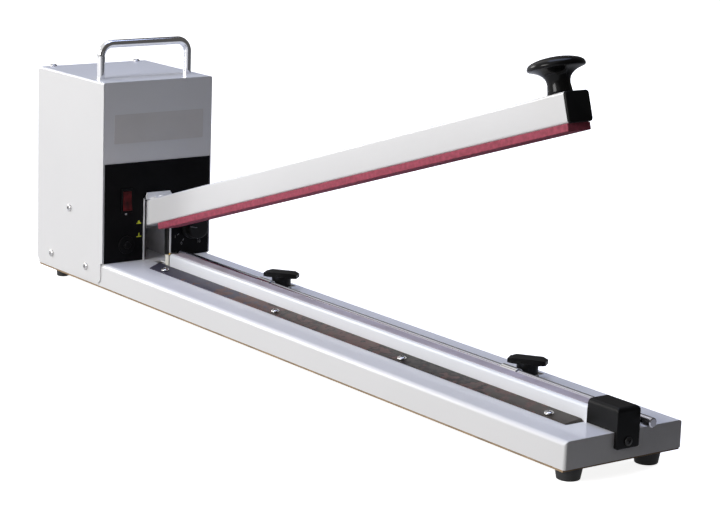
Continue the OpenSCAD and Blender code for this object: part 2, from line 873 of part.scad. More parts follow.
// Bent plate that meets the front of the housing when the arm is up
stop_h = 7;
stop_t = 1.5;
stop_w = 30;
stop_top_w = 26.6;
stop_bevel = 3.5;
module stop_plate() {
    color([0.9, 0.9, 0.91]) on_arm()
    difference() {
        union() {
            along_x(stop_u, stop_t) polygon([
                [-stop_w / 2, arm_half], [stop_w / 2, arm_half],
                [stop_w / 2, arm_half + stop_h - stop_bevel], [stop_top_w / 2, arm_half + stop_h],
                [-stop_top_w / 2, arm_half + stop_h], [-stop_w / 2, arm_half + stop_h - stop_bevel]]);
            block(stop_u, -arm_half + arm_wall, arm_half, [stop_foot, arm_size - 2 * arm_wall, stop_t]);
        }
        round_z(stop_u + stop_foot / 2, 0, arm_half - cut, stop_screw_d + 2 * screw_clear, stop_t + 2 * cut);
    }
    color([0.8, 0.8, 0.82]) on_arm()
    translate([stop_u + stop_foot / 2, 0, arm_half + stop_t + near])
        pan_screw(stop_screw_d, stop_foot / 2, stop_t, stop_t + arm_wall + screw_through);
}

// Return spring between the arm's tail and an eye inside the base
peg_rest_x = -hinge_back + peg_u * cos(arm_lift);
peg_rest_z = hinge_z + peg_u * sin(arm_lift);
spring_wire = 1.6;
spring_coil_r = 5;
spring_turns = 7;
spring_end = 2.5 * spring_wire;
anchor_t = 2;
anchor_h = 9;
anchor_w = 12;
anchor_hole_d = 4;
anchor_z = base_bottom + bottom_t + anchor_h - anchor_hole_d;
spring_low = base_bottom + bottom_t + anchor_h + gap;
spring_high = peg_rest_z - peg_d / 2 - gap;
spring_run = spring_high - spring_low;
spring_steps = spring_turns * 8;
function spring_point(i) =
    let (a = 360 * i / 8)
    [peg_rest_x + spring_coil_r * cos(a), spring_coil_r * sin(a),
        spring_low + spring_end + (spring_run - 2 * spring_end) * i / spring_steps];
module return_spring() {
    coil = [for (i = [0:spring_steps]) spring_point(i)];
    path = concat(
        [[peg_rest_x, 0, spring_low], [peg_rest_x, 0, spring_low + spring_wire]],
        coil,
        [[peg_rest_x, 0, spring_high - spring_wire], [peg_rest_x, 0, spring_high]]);
    color([0.6, 0.6, 0.62]) at_origin() tube(path, spring_wire / 2, 6, [1, 0, 0]);
}
echo(spring_gap = (spring_run - 2 * spring_end) / spring_turns - spring_wire);

module spring_anchor() {
    color([0.7, 0.7, 0.72]) at_origin()
    difference() {
        union() {
            block(peg_rest_x - anchor_t / 2, -anchor_w / 2, base_bottom + bottom_t,
                [anchor_t, anchor_w, anchor_h]);
            block(peg_rest_x - anchor_w, -anchor_w / 2, base_bottom + bottom_t,
                [anchor_w, anchor_w, anchor_t]);
        }
        round_x(peg_rest_x - anchor_t, 0, anchor_z, anchor_hole_d, 2 * anchor_t);
    }
}

module spring_peg() {
    color([0.7, 0.7, 0.72]) on_arm()
    round_y(peg_u, -arm_half - peg_d / 4, 0, peg_d, arm_size + peg_d / 2);
}

// Sealing bar and its layers

bar_shoulder = 3;
bar_wall = 3;
bar_edge = 0.6;
module sealing_bar() {
    color([0.84, 0.86, 0.9]) at_origin()
    difference() {
        along_x(bar_start, bar_len) difference() {
            polygon(concat(
                [[bar_front, base_top], [flange_back, base_top], [flange_back, base_top + flange_t],
                 [bar_back, base_top + flange_t], [bar_back, bar_top - bar_edge],
                 [bar_back - bar_edge, bar_top]],
                arc(bar_front + bar_shoulder, bar_top - bar_shoulder, bar_shoulder, 90, 180)));
            translate([bar_front + bar_wall, base_top + bar_wall])
                square([bar_top_w - 2 * bar_wall, bar_h - 2 * bar_wall]);
        }
        for (x = bar_screw_xs)
            round_z(x, bar_mid_y, base_top - cut, bar_screw_d + 2 * screw_clear, bar_wall + cut);
    }
}

module bar_screws() {
    color([0.8, 0.8, 0.82]) at_origin()
    for (x = bar_screw_xs)
        translate([x, bar_mid_y, base_top - base_sheet]) rotate([180, 0, 0])
            pan_screw(bar_screw_d, inner_head_d, inner_head_h, base_sheet + bar_wall);
}

layer_end = 4;
tape_inset = 0.5;
tape_front = bar_front + bar_shoulder;
module glass_tape() {
    color([0.85, 0.82, 0.7]) at_origin()
    block(bar_start + tape_inset, tape_front, bar_top,
        [bar_len - 2 * tape_inset, bar_back - bar_edge - tape_front, tape_t]);
}

ribbon_y = -5.5;
post_drop = 3;
post_h = bar_h - post_drop;
end_post_in = 6;
end_post_x = bar_end + end_gap + end_post_in;
ribbon_tail = 2;
ribbon_step = 1.2;
terminal_screw_d = 2.6;
module heating_ribbon() {
    low = base_top + post_h;
    high = bar_top + tape_t;
    start = post_x - ribbon_tail;
    finish = end_post_x + ribbon_tail;
    color([0.6, 0.58, 0.55]) at_origin()
    difference() {
        along_y(ribbon_y - ribbon_w / 2, ribbon_w) polygon([
            [start, low], [bar_start - post_gap - ribbon_step, low],
            [bar_start - post_gap / 2, high], [bar_end + end_gap / 2, high],
            [bar_end + end_gap + ribbon_step, low], [finish, low],
            [finish, low + ribbon_t], [bar_end + end_gap + ribbon_step + ribbon_t, low + ribbon_t],
            [bar_end + end_gap / 2 + ribbon_t, high + ribbon_t],
            [bar_start - post_gap / 2 - ribbon_t, high + ribbon_t],
            [bar_start - post_gap - ribbon_step - ribbon_t, low + ribbon_t], [start, low + ribbon_t]]);
        for (x = [post_x, end_post_x])
            round_z(x, ribbon_y, low - cut, terminal_screw_d + 2 * screw_clear, 2 * cut);
    }
}

sheet_front = -9;
module release_sheet() {
    low = base_top + flange_t;
    top = bar_top + tape_t + ribbon_t;
    color([0.72, 0.66, 0.68]) at_origin()
    along_x(bar_start + layer_end, bar_len - 2 * layer_end) polygon([
        [sheet_front, top], [bar_back + near, top], [bar_back + near, low], [rod_y + rod_d / 2, low],
        [rod_y + rod_d / 2, low + sheet_t], [bar_back + near + sheet_t, low + sheet_t],
        [bar_back + near + sheet_t, top + sheet_t], [sheet_front, top + sheet_t]]);
}

post_w = 8;
module post(x) {
    difference() {
        block(x - post_len / 2, ribbon_y - post_w / 2, base_top, [post_len, post_w, post_h]);
        round_z(x, ribbon_y, base_top - cut, terminal_screw_d + 2 * screw_clear, post_h + 2 * cut);
    }
}

module terminal_post() {
    color([0.88, 0.84, 0.72]) at_origin()
    for (x = [post_x, end_post_x]) post(x);
}

terminal_head_d = 3.8;
terminal_head_h = 1.6;
module terminal_screws() {
    color([0.72, 0.56, 0.25]) at_origin()
    for (x = [post_x, end_post_x])
        translate([x, ribbon_y, base_top + post_h + ribbon_t])
            pan_screw(terminal_screw_d, terminal_head_d, terminal_head_h, ribbon_t + post_h);
}

block_h = 20;
block_wall = 2.4;
block_round = 4;
block_drop = 13.5;
block_mouth = 10;
module end_block() {
    half = block_w / 2;
    roof = base_top + block_h;
    color([0.05, 0.05, 0.055]) at_origin()
    difference() {
        union() {
            intersection() {
                along_x(bar_end + near, block_len - near + block_flap_t)
                    tray_outline(half, base_top, roof, block_round);
                along_y(-half, block_w) polygon(concat(
                    [[bar_end + near, base_top], [base_front + block_flap_t, base_top]],
                    arc(base_front + block_flap_t - block_round, roof - block_round, block_round, 0, 90),
                    [[bar_end + near, roof]]));
            }
            along_x(base_front, block_flap_t)
                soft_rect(-half, base_top - block_drop, block_w, block_drop + block_round, block_round / 2);
        }
        block(bar_end + near + block_wall, -half + block_wall, base_top - cut,
            [block_len - near - 2 * block_wall, block_w - 2 * block_wall, block_h - block_wall + cut]);
        // Mouth for the ribbon and the sheet
        block(bar_end - cut, ribbon_y - ribbon_w / 2 - gap, base_top + block_mouth,
            [block_wall + 2 * cut, ribbon_w + 2 * gap, bar_h + gap + ribbon_t + tape_t - block_mouth]);
        round_x(base_front - cut, 0, block_screw_z, block_screw_d + 2 * screw_clear, block_flap_t + 2 * cut);
    }
}

module end_block_screw() {
    color([0.82, 0.82, 0.84]) at_origin()
    translate([base_front + block_flap_t, 0, block_screw_z]) rotate([0, 90, 0])
        pan_screw(block_screw_d, cover_head_d, cover_head_h, block_flap_t + base_sheet + screw_through);
}

// Steel ramp that the bag slides up
ramp_start = 25;
ramp_end_inset = 2.5;
ramp_low = 0.8;
ramp_high = 2;
ramp_slant = 12;
ramp_corner = 2;
ramp_flap = 3.5;
module bag_ramp() {
    front = ramp_back - ramp_w;
    finish = bar_end - ramp_end_inset;
    color([0.35, 0.33, 0.4]) at_origin()
    difference() {
        intersection() {
            along_x(ramp_start, finish - ramp_start) polygon([
                [front, base_top], [ramp_back, base_top],
                [ramp_back, base_top + ramp_high], [front, base_top + ramp_low]]);
            // The end is turned down to the base
            along_y(front, ramp_w) polygon([
                [ramp_start, base_top], [finish, base_top],
                [finish - ramp_flap, base_top + ramp_high], [ramp_start, base_top + ramp_high]]);
            translate([0, 0, base_top - cut]) linear_extrude(ramp_high + 2 * cut) polygon(concat(
                [[ramp_start, ramp_back + cut], [ramp_start, ramp_back],
                 [ramp_start + ramp_slant, front]],
                arc(finish - ramp_corner, front + ramp_corner, ramp_corner, -90, 0),
                [[finish, ramp_back + cut]]));
        }
        for (i = [0:ramp_screw_count - 1])
            round_z(ramp_screw_inset + i * ramp_screw_pitch, ramp_screw_y, base_top - cut,
                ramp_screw_d + 2 * screw_clear, ramp_high + 2 * cut);
    }
}

ramp_head_d = 8;
ramp_head_h = 2.6;
module ramp_screws() {
    share = (ramp_screw_y - ramp_back + ramp_w) / ramp_w;
    seat = ramp_low + (ramp_high - ramp_low) * share + ramp_head_d / 2 * (ramp_high - ramp_low) / ramp_w;
    color([0.82, 0.82, 0.84]) at_origin()
    for (i = [0:ramp_screw_count - 1])
        translate([ramp_screw_inset + i * ramp_screw_pitch, ramp_screw_y, base_top + seat])
            pan_screw(ramp_screw_d, ramp_head_d, ramp_head_h, seat + base_sheet + screw_through);
}

// Clamp rod with its two straps

rod_start = 19;
rod_end_round = 0.8;
module clamp_rod() {
    length = front_reach - rod_start;
    color([0.8, 0.8, 0.82]) at_origin()
    translate([rod_start, rod_y, rod_z]) rotate([0, 90, 0]) rotate_extrude()
        polygon([[0, 0], [rod_d / 2 - rod_end_round, 0], [rod_d / 2, rod_end_round],
            [rod_d / 2, length - rod_end_round], [rod_d / 2 - rod_end_round, length], [0, length]]);
}

strap_t = 0.8;
strap_w = 20;
strap_tail = 10;
spacer_h = 3;
strap_low = base_top + spacer_h + near;
strap_in_r = rod_d / 2 + gap;
strap_out_r = strap_in_r + strap_t;
hook_z = base_top + flange_t + sheet_t + strap_t;
module strap(x) {
    color([0.84, 0.85, 0.88]) at_origin()
    difference() {
        along_x(x - strap_w / 2, strap_w) polygon(concat(
            [[rod_y - strap_out_r, hook_z], [rod_y - strap_in_r, hook_z]],
            arc(rod_y, rod_z, strap_in_r, 180, 0, 12),
            [[rod_y + strap_in_r, strap_low], [stud_y + strap_tail, strap_low],
             [stud_y + strap_tail, strap_low + strap_t], [rod_y + strap_out_r, strap_low + strap_t]],
            arc(rod_y, rod_z, strap_out_r, 0, 180, 12)));
        round_z(x, stud_y, strap_low - cut, stud_d + 2 * screw_clear, strap_t + 2 * cut);
    }
}

module rod_strap_1() { strap(clamp_xs[0]); }

module rod_strap_2() { strap(clamp_xs[1]); }

stud_up = 14.5;
stud_head_d = 10;
stud_head_h = 3;
module clamp_studs() {
    color([0.7, 0.7, 0.72]) at_origin()
    for (x = clamp_xs) {
        round_z(x, stud_y, base_top - base_sheet - stud_head_h / 2, stud_d,
            base_sheet + stud_head_h / 2 + stud_up);
        round_z(x, stud_y, base_top - base_sheet - stud_head_h, stud_head_d, stud_head_h);
    }
}

spacer_d = 20;
module clamp_spacers() {
    color([0.05, 0.05, 0.05]) at_origin()
    for (x = clamp_xs) difference() {
        round_z(x, stud_y, base_top, spacer_d, spacer_h);
        round_z(x, stud_y, base_top - cut, stud_d + 2 * screw_clear, spacer_h + 2 * cut);
    }
}

// Wing knob: a round stem under a bar that narrows and drops towards its two ends
stem_d = 18.4;
head_len = 33;
head_w = 15;
head_end_w = 10;
head_flat = 23;
head_t = 5;
head_end_t = 3.6;
knob_roof = 2;
knob_1_turn = 38;
knob_2_turn = 36;
stem_z = strap_low + strap_t + clip_gap;
head_z = rod_z + strap_out_r + near;
module clamp_knob(x, turn) {
    l = head_len / 2;
    m = head_flat / 2;
    w = head_w / 2;
    e = head_end_w / 2;
    color([0.05, 0.05, 0.05]) at_origin()
    translate([x, stud_y, 0]) rotate([0, 0, turn]) difference() {
        union() {
            round_z(0, 0, stem_z, stem_d, head_z - stem_z + ledge);
            intersection() {
                translate([0, 0, head_z]) linear_extrude(head_t) polygon([
                    [-l, -e], [-m, -w], [m, -w], [l, -e], [l, e], [m, w], [-m, w], [-l, e]]);
                along_y(-w, head_w) polygon([
                    [-l, head_z], [l, head_z], [l, head_z + head_end_t],
                    [m, head_z + head_t], [-m, head_z + head_t], [-l, head_z + head_end_t]]);
            }
        }
        round_z(0, 0, stem_z - cut, stud_d + 2 * turn_clear, head_z + head_t - knob_roof - stem_z + cut);
    }
}

module clamp_knob_1() { clamp_knob(clamp_xs[0], knob_1_turn); }

module clamp_knob_2() { clamp_knob(clamp_xs[1], knob_2_turn); }

// Transformer on its shelf above the hinge

core_w = 72;
core_h = 52;
core_leg = 12;
shelf_top = base_top + shelf_h;
core_x = (shelf_rear + shelf_front) / 2;
core_stack = 34;
module transformer_shelf() {
    color([0.75, 0.75, 0.77]) at_origin()
    difference() {
        union() {
            block(shelf_rear, -shelf_half, shelf_top - shelf_sheet,
                [shelf_front - shelf_rear, 2 * shelf_half, shelf_sheet]);
            for (s = [-1, 1]) {
                block(shelf_rear, s > 0 ? shelf_half - shelf_sheet : -shelf_half, base_top,
                    [shelf_front - shelf_rear, shelf_sheet, shelf_h]);
                block(shelf_rear, s > 0 ? shelf_half - shelf_sheet : -shelf_half - shelf_foot_w, base_top,
                    [shelf_front - shelf_rear, shelf_foot_w + shelf_sheet, shelf_sheet]);
            }
        }
        for (x = shelf_screw_xs, s = [-1, 1])
            round_z(x, s * shelf_screw_y, base_top - cut, shelf_screw_d + 2 * screw_clear,
                shelf_sheet + 2 * cut);
    }
}

// Laminations in the plane across the housing, with two windows for the winding
module transformer_core() {
    window_w = (core_w - 4 * core_leg) / 2;
    color([0.3, 0.3, 0.33]) at_origin()
    along_x(core_x - core_stack / 2, core_stack) difference() {
        translate([-core_w / 2, shelf_top]) square([core_w, core_h]);
        for (s = [-1, 1])
            translate([s * (core_leg + window_w / 2) - window_w / 2, shelf_top + core_leg])
                square([window_w, core_h - 2 * core_leg]);
    }
}

coil_over = 9;
coil_round = 5;
module transformer_coil() {
    window_w = (core_w - 4 * core_leg) / 2;
    half_y = core_leg + window_w - near;
    half_x = core_stack / 2 + coil_over;
    tall = core_h - 2 * core_leg - 2 * near;
    color([0.75, 0.55, 0.15]) at_origin()
    translate([core_x, 0, shelf_top + core_leg + near]) difference() {
        linear_extrude(tall) soft_rect(-half_x, -half_y, 2 * half_x, 2 * half_y, coil_round);
        translate([-core_stack / 2 - near, -core_leg - near, -cut])
            cube([core_stack + 2 * near, 2 * (core_leg + near), tall + 2 * cut]);
    }
}

// Timer board behind the panel, with its potentiometer

board_t = 1.6;
board_back = 15;
board_w = 36;
board_h = 50;
board_x = face_x - cover_sheet - board_back;
board_y = timer_y - board_w / 2;
board_up = 6;
board_low = base_top + board_up;
relay_len = 15;
relay_w = 14;
relay_h = 18;
cap_d = 8;
cap_len = 12;
module timer_board() {
    back = board_x - board_t;
    color([0.12, 0.35, 0.16]) at_origin()
    difference() {
        block(back, board_y, board_low, [board_t, board_w, board_h]);
        round_x(back - cut, timer_y, base_top + timer_up, shaft_d + 2 * gap, board_t + 2 * cut);
    }
    color([0.1, 0.1, 0.12]) at_origin() {
        block(back - relay_len, board_y + board_w / 2 - relay_w / 2, board_low + board_h - relay_h - ledge,
            [relay_len + near, relay_w, relay_h]);
        for (s = [-1, 1])
            round_x(back - cap_len, timer_y + s * board_w / 4, board_low + cap_d, cap_d, cap_len + near);
    }
}

pot_d = 17;
pot_t = 9;
shaft_d = 6;
shaft_out = 11;
bush_out = 3;
shaft_end_gap = 0.5;
module timer_pot() {
    pot_front = face_x - cover_sheet;
    z = base_top + timer_up;
    color([0.55, 0.55, 0.58]) at_origin()
    difference() {
        union() {
            round_x(pot_front - pot_t, timer_y, z, pot_d, pot_t);
            round_x(pot_front - cut, timer_y, z, pot_bush_d, cut + cover_sheet + panel_t + bush_out);
        }
        round_x(pot_front - pot_t + ledge, timer_y, z, shaft_d + 2 * turn_clear,
            pot_t + cover_sheet + panel_t + bush_out + cut);
    }
    // Legs solder the potentiometer to its board
    color([0.8, 0.8, 0.82]) at_origin()
    for (s = [-1, 0, 1])
        block(board_x, timer_y + s * pot_d / 4 - cross_w / 2, z - pot_d / 3,
            [board_back - pot_t + near, cross_w, cross_w]);
}

module pot_shaft() {
    start = face_x - cover_sheet - pot_t + ledge + shaft_end_gap;
    color([0.8, 0.8, 0.8]) at_origin()
    round_x(start, timer_y, base_top + timer_up, shaft_d, shaft_out - start);
}

knob_lift = 3.3;
knob_skirt_t = 3;
knob_taper_share = 0.86;
knob_draft_share = 0.98;
module timer_knob() {
    r = timer_knob_d / 2;
    top_r = r * knob_taper_share;
    color([0.05, 0.05, 0.05]) at_origin()
    translate([knob_lift, timer_y, base_top + timer_up]) rotate([0, 90, 0]) difference() {
        rotate_extrude() polygon([[0, 0], [r, 0], [r, knob_skirt_t], [top_r, knob_skirt_t + ledge],
            [top_r * knob_draft_share, timer_knob_len - ledge],
            [top_r - ledge, timer_knob_len], [0, timer_knob_len]]);
        translate([0, 0, -cut])
            cylinder(h = shaft_out - knob_lift + cut + shaft_end_gap, d = shaft_d + 2 * turn_clear);
        // Grips round the knob's side
        for (i = [0:11])
            rotate([0, 0, 30 * i + 15]) translate([r, 0, knob_skirt_t + ledge])
                cylinder(h = timer_knob_len, d = knob_skirt_t, $fn = 24);
    }
}

// Rocker in its frame: the rocker turns about a line just inside the frame

rocker_pivot_x = 0.4;
rocker_tilt = 6;
rocker_front = 2.6;
frame_t = 1.8;
frame_rim = 1.6;
frame_deep = 17;
frame_wall = 1;
module rocker_place() {
    at_origin() translate([rocker_pivot_x, rocker_y, base_top + rocker_up]) children();
}

module rocker_frame() {
    outer_w = rocker_cut_w + 2 * frame_rim - bezel;
    outer_h = rocker_cut_h + 2 * frame_rim - bezel;
    color([0.05, 0.05, 0.05]) rocker_place()
    difference() {
        union() {
            translate([-rocker_pivot_x, -outer_w / 2, -outer_h / 2]) cube([frame_t, outer_w, outer_h]);
            translate([-rocker_pivot_x - frame_deep, -rocker_cut_w / 2, -rocker_cut_h / 2])
                cube([frame_deep + cut, rocker_cut_w, rocker_cut_h]);
            for (s = [-1, 0, 1])
                translate([-rocker_pivot_x - frame_deep - 4 * frame_wall, -frame_wall * 2,
                    s * rocker_h / 3 - frame_wall / 2])
                    cube([5 * frame_wall, 4 * frame_wall, frame_wall]);
        }
        translate([0, -rocker_w / 2 - gap, 0]) rotate([-90, 0, 0])
            cylinder(h = rocker_w + 2 * gap, d = rocker_h + 2 * gap);
        translate([0, -rocker_w / 2 - gap, -rocker_h / 2 - gap])
            cube([frame_deep, rocker_w + 2 * gap, rocker_h + 2 * gap]);
        // Sockets of the rocker's two pivots
        translate([0, -rocker_w / 2 - 2 * gap, 0]) rotate([-90, 0, 0])
            cylinder(h = rocker_w + 4 * gap, d = rocker_pivot_d + 2 * turn_clear);
    }
}

rocker_pivot_d = 2;
rocker_back = 5;
module rocker() {
    color([0.6, 0.05, 0.05]) rocker_place() rotate([0, -rocker_tilt, 0])
    difference() {
        union() {
            intersection() {
                translate([0, -rocker_w / 2, 0]) rotate([-90, 0, 0])
                    cylinder(h = rocker_w, d = rocker_h);
                along_y(-rocker_w / 2, rocker_w) polygon([
                    [-rocker_back, -rocker_h / 2], [rocker_front, -rocker_h / 2],
                    [rocker_front - ledge, 0], [rocker_front, rocker_h / 2], [-rocker_back, rocker_h / 2]]);
            }
            translate([0, -rocker_w / 2 - 1.5 * gap, 0]) rotate([-90, 0, 0])
                cylinder(h = rocker_w + 3 * gap, d = rocker_pivot_d);
        }
    }
}

// Breaker: a threaded body through the panel, its ring nut and its button

breaker_len = 30;
breaker_block_w = 15;
breaker_block_h = 26;
ring_t = 1.6;
button_d = 7;
button_out = 3;
button_deep = 12;
module breaker_body() {
    z = base_top + breaker_up;
    back = face_x - cover_sheet;
    color([0.06, 0.06, 0.06]) at_origin()
    difference() {
        union() {
            block(back - breaker_len, breaker_y - breaker_block_w / 2, z - breaker_block_h / 2,
                [breaker_len, breaker_block_w, breaker_block_h]);
            round_x(back - cut, breaker_y, z, breaker_neck_d, cut + cover_sheet + panel_t + ring_t);
            round_x(0, breaker_y, z, breaker_d, ring_t);
        }
        round_x(ring_t - button_deep, breaker_y, z, button_d + 2 * turn_clear, button_deep + cut);
    }
}

module breaker_button() {
    color([0.75, 0.74, 0.7]) at_origin()
    round_x(ring_t - button_deep + ledge, breaker_y, base_top + breaker_up, button_d,
        button_deep - ledge + button_out);
}

// Switch behind the bracket's web: the arm's tail comes up under it as the arm closes
switch_len = 20;
switch_deep = 6.4;
switch_h = 10;
switch_pin_w = 2;
switch_pin_h = 2;
module microswitch() {
    low = hinge_z + arm_half + gap + switch_pin_h;
    color([0.08, 0.08, 0.09]) at_origin() {
        block(-bracket_len - switch_deep, -switch_len / 2, low, [switch_deep, switch_len, switch_h]);
        block(-bracket_len - switch_deep / 2 - switch_pin_w / 2, -switch_len / 4, low - switch_pin_h,
            [switch_pin_w, switch_pin_w, switch_pin_h + near]);
    }
}

// Wires: a route turns each corner of a line of points on a smooth bend
small_wire_d = 2;
gland_wire_off = (gland_bore_d + gland_nut_d) / 4;
function bend(a, b, c, r) =
    let (u = unit(a - b), v = unit(c - b))
    [for (i = [0:4]) let (t = i / 4) b + r * ((1 - t) * (1 - t) * u + t * t * v)];
function route(p, r, i = 1) = i >= len(p) - 1 ? [p[len(p) - 1]] :
    concat(i == 1 ? [p[0]] : [], bend(p[i - 1], p[i], p[i + 1], r), route(p, r, i + 1));
module wiring() {
    r = 2 * heater_wire_d;
    coil_z = shelf_top + core_h / 2;
    coil_front = core_x + core_stack / 2 + coil_over;
    low = base_bottom + bottom_t + heater_wire_d / 2 + near;
    color([0.2, 0.2, 0.22]) at_origin() {
        // From the winding down through the base to each end of the ribbon
        for (w = [[-1, post_x], [1, end_post_x]])
            tube(route([
                [coil_front, w[0] * core_leg, coil_z],
                [wire_hole_x, w[0] * core_leg, coil_z],
                [wire_hole_x, w[0] * wire_hole_y, coil_z],
                [wire_hole_x, w[0] * wire_hole_y, low],
                [w[1], w[0] * wire_hole_y, low],
                [w[1], ribbon_y, low],
                [w[1], ribbon_y, base_top]], r), heater_wire_d / 2, 8, [0, 0, 1]);
        // From the cable gland to the breaker
        tube(route([
            [-housing_depth + cover_sheet + gland_inside, gland_y + gland_wire_off, base_top + gland_up],
            [-bracket_len, gland_y + gland_wire_off, base_top + gland_up],
            [-bracket_len, breaker_y + breaker_block_w / 4, base_top + breaker_up],
            [face_x - cover_sheet - breaker_len, breaker_y + breaker_block_w / 4, base_top + breaker_up]],
            r), small_wire_d / 2, 8, [0, 0, 1]);
        // From the rocker over the arm to the relay
        tube(route([
            [-frame_deep - 4 * frame_wall, rocker_y, base_top + rocker_up + rocker_h / 3],
            [board_x - board_t - relay_len / 2, rocker_y, base_top + rocker_up + rocker_h / 3],
            [board_x - board_t - relay_len / 2, timer_y, base_top + rocker_up + rocker_h / 3],
            [board_x - board_t - relay_len / 2, timer_y, board_low + board_h - ledge]],
            small_wire_d), small_wire_d / 2, 8, [0, 0, 1]);
    }
}

gland_dome_share = 0.7;
module cable_gland() {
    z = base_top + gland_up;
    color([0.05, 0.05, 0.05]) at_origin()
    translate([-housing_depth, gland_y, z]) rotate([0, -90, 0]) difference() {
        union() {
            rotate_extrude() polygon([[0, 0], [gland_d / 2, 0], [gland_d / 2, gland_washer_t],
                [gland_d * gland_dome_share / 2, gland_out], [0, gland_out]]);
            translate([0, 0, -cover_sheet - gland_inside])
                cylinder(h = cover_sheet + gland_inside + cut, d = gland_neck_d);
            translate([0, 0, -cover_sheet - gland_inside])
                cylinder(h = gland_inside, d = gland_nut_d);
        }
        translate([0, 0, -cover_sheet - gland_inside - cut])
            cylinder(h = cover_sheet + gland_inside + gland_out + 2 * cut, d = gland_bore_d);
    }
}

base_tray();
bottom_plate();
front_feet();
rear_feet();
foot_screws();
housing_cover();
front_plate();
control_panel();
label_sticker();
rear_panel();
cover_screws();
carry_handle();
handle_screws();
hinge_bracket();
bracket_screws();
guide_strips();
hinge_pin();
hinge_clips();
arm_tube();
hinge_sleeve();
arm_end_cap();
sealing_pad();
lift_knob();
lift_knob_screw();
stop_plate();
return_spring();
spring_anchor();
spring_peg();
sealing_bar();
bar_screws();
glass_tape();
heating_ribbon();
release_sheet();
terminal_post();
terminal_screws();
end_block();
end_block_screw();
bag_ramp();
ramp_screws();
clamp_rod();
rod_strap_1();
rod_strap_2();
clamp_studs();
clamp_spacers();
clamp_knob_1();
clamp_knob_2();
transformer_core();
transformer_coil();
transformer_shelf();
timer_board();
timer_pot();
pot_shaft();
timer_knob();
rocker_frame();
rocker();
breaker_body();
breaker_button();
microswitch();
wiring();
cable_gland();
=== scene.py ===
import math

import bmesh
import bpy
from mathutils import Matrix, Vector


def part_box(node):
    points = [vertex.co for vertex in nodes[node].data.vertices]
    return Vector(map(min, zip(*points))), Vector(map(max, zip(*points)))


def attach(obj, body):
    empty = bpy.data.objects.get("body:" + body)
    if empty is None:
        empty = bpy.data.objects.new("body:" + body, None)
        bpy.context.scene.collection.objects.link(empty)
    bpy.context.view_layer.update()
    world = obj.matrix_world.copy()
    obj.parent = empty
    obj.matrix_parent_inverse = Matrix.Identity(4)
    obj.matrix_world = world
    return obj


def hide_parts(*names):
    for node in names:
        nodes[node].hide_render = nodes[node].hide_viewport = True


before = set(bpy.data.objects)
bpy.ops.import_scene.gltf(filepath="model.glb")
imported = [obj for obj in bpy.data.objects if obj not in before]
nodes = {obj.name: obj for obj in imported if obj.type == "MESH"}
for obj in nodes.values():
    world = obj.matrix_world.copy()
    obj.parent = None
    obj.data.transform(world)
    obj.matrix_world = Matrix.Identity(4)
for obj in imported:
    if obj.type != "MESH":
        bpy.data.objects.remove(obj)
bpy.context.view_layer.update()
scene = bpy.context.scene


# Camera. The photograph was taken from the free end's side, a little over two metres away,
# with a long lens that looks down by about twelve degrees.
azimuth, elevation, roll = math.radians(53.152), math.radians(12.473), math.radians(1.993)
back = Vector((math.sin(azimuth) * math.cos(elevation),
               -math.cos(azimuth) * math.cos(elevation), math.sin(elevation)))
right = (-back).cross(Vector((0, 0, 1))).normalized()
up = right.cross(-back)
right, up = (math.cos(roll) * right + math.sin(roll) * up,
             math.cos(roll) * up - math.sin(roll) * right)
camera = bpy.data.objects.new("camera", bpy.data.cameras.new("camera"))
scene.collection.objects.link(camera)
camera.data.lens = 117.5
camera.data.sensor_width = 36
camera.data.clip_end = 50
standpoint = (1.6868, -1.2199, 0.5533)
camera.matrix_world = (Matrix.Translation(standpoint)
                       @ Matrix((right, up, back)).transposed().to_4x4())
scene.camera = camera


# Counter and studio light. A strong soft lamp stands on the user's side of a white counter, a
# cool one overhead, and two weaker ones at the left and behind. Bright metal shows a room that
# is pale on the left and dark on the right.
def new_material(name):
    """A new material with its nodes, its links and its main shader."""
    material = bpy.data.materials.new(name)
    material.use_nodes = True
    tree = material.node_tree
    return material, tree.nodes, tree.links, tree.nodes["Principled BSDF"]


def mesh_object(name, mesh):
    """Puts a mesh into the scene as an object."""
    piece = bpy.data.objects.new(name, mesh)
    scene.collection.objects.link(piece)
    return piece


def math_node(tree, operation, *values):
    """A math node fed by numbers or by the outputs of other nodes."""
    node = tree.nodes.new("ShaderNodeMath")
    node.operation = operation
    for socket, value in zip(node.inputs, values):
        if isinstance(value, float):
            socket.default_value = value
        else:
            tree.links.new(value, socket)
    return node.outputs[0]


def picture_axes(tree, place):
    """Splits a place or direction in fixed axes: X right in the picture, Y into it, Z up."""
    turned = tree.nodes.new("ShaderNodeMapping")
    turned.inputs["Rotation"].default_value = (0, 0, -azimuth)
    axes = tree.nodes.new("ShaderNodeSeparateXYZ")
    tree.links.new(place, turned.inputs["Vector"])
    tree.links.new(turned.outputs[0], axes.inputs[0])
    return axes.outputs


def fading(tree, value, start, stop, first, last, course="SMOOTHSTEP"):
    """A share that goes from first to last while a value goes from start to stop."""
    node = tree.nodes.new("ShaderNodeMapRange")
    node.interpolation_type = course
    for name, number in (("From Min", start), ("From Max", stop),
                         ("To Min", first), ("To Max", last)):
        node.inputs[name].default_value = number
    tree.links.new(value, node.inputs["Value"])
    return node.outputs[0]


def seen_or_mirrored(tree, mirror_share):
    """1 for the camera's rays, a share for mirrored rays and rays through glass, 0 for light."""
    path = tree.nodes.new("ShaderNodeLightPath")
    mirrored = math_node(tree, "MAXIMUM", path.outputs["Is Glossy Ray"],
                         path.outputs["Is Transmission Ray"])
    share = math_node(tree, "MULTIPLY", mirrored, mirror_share)
    return math_node(tree, "MAXIMUM", path.outputs["Is Camera Ray"], share)


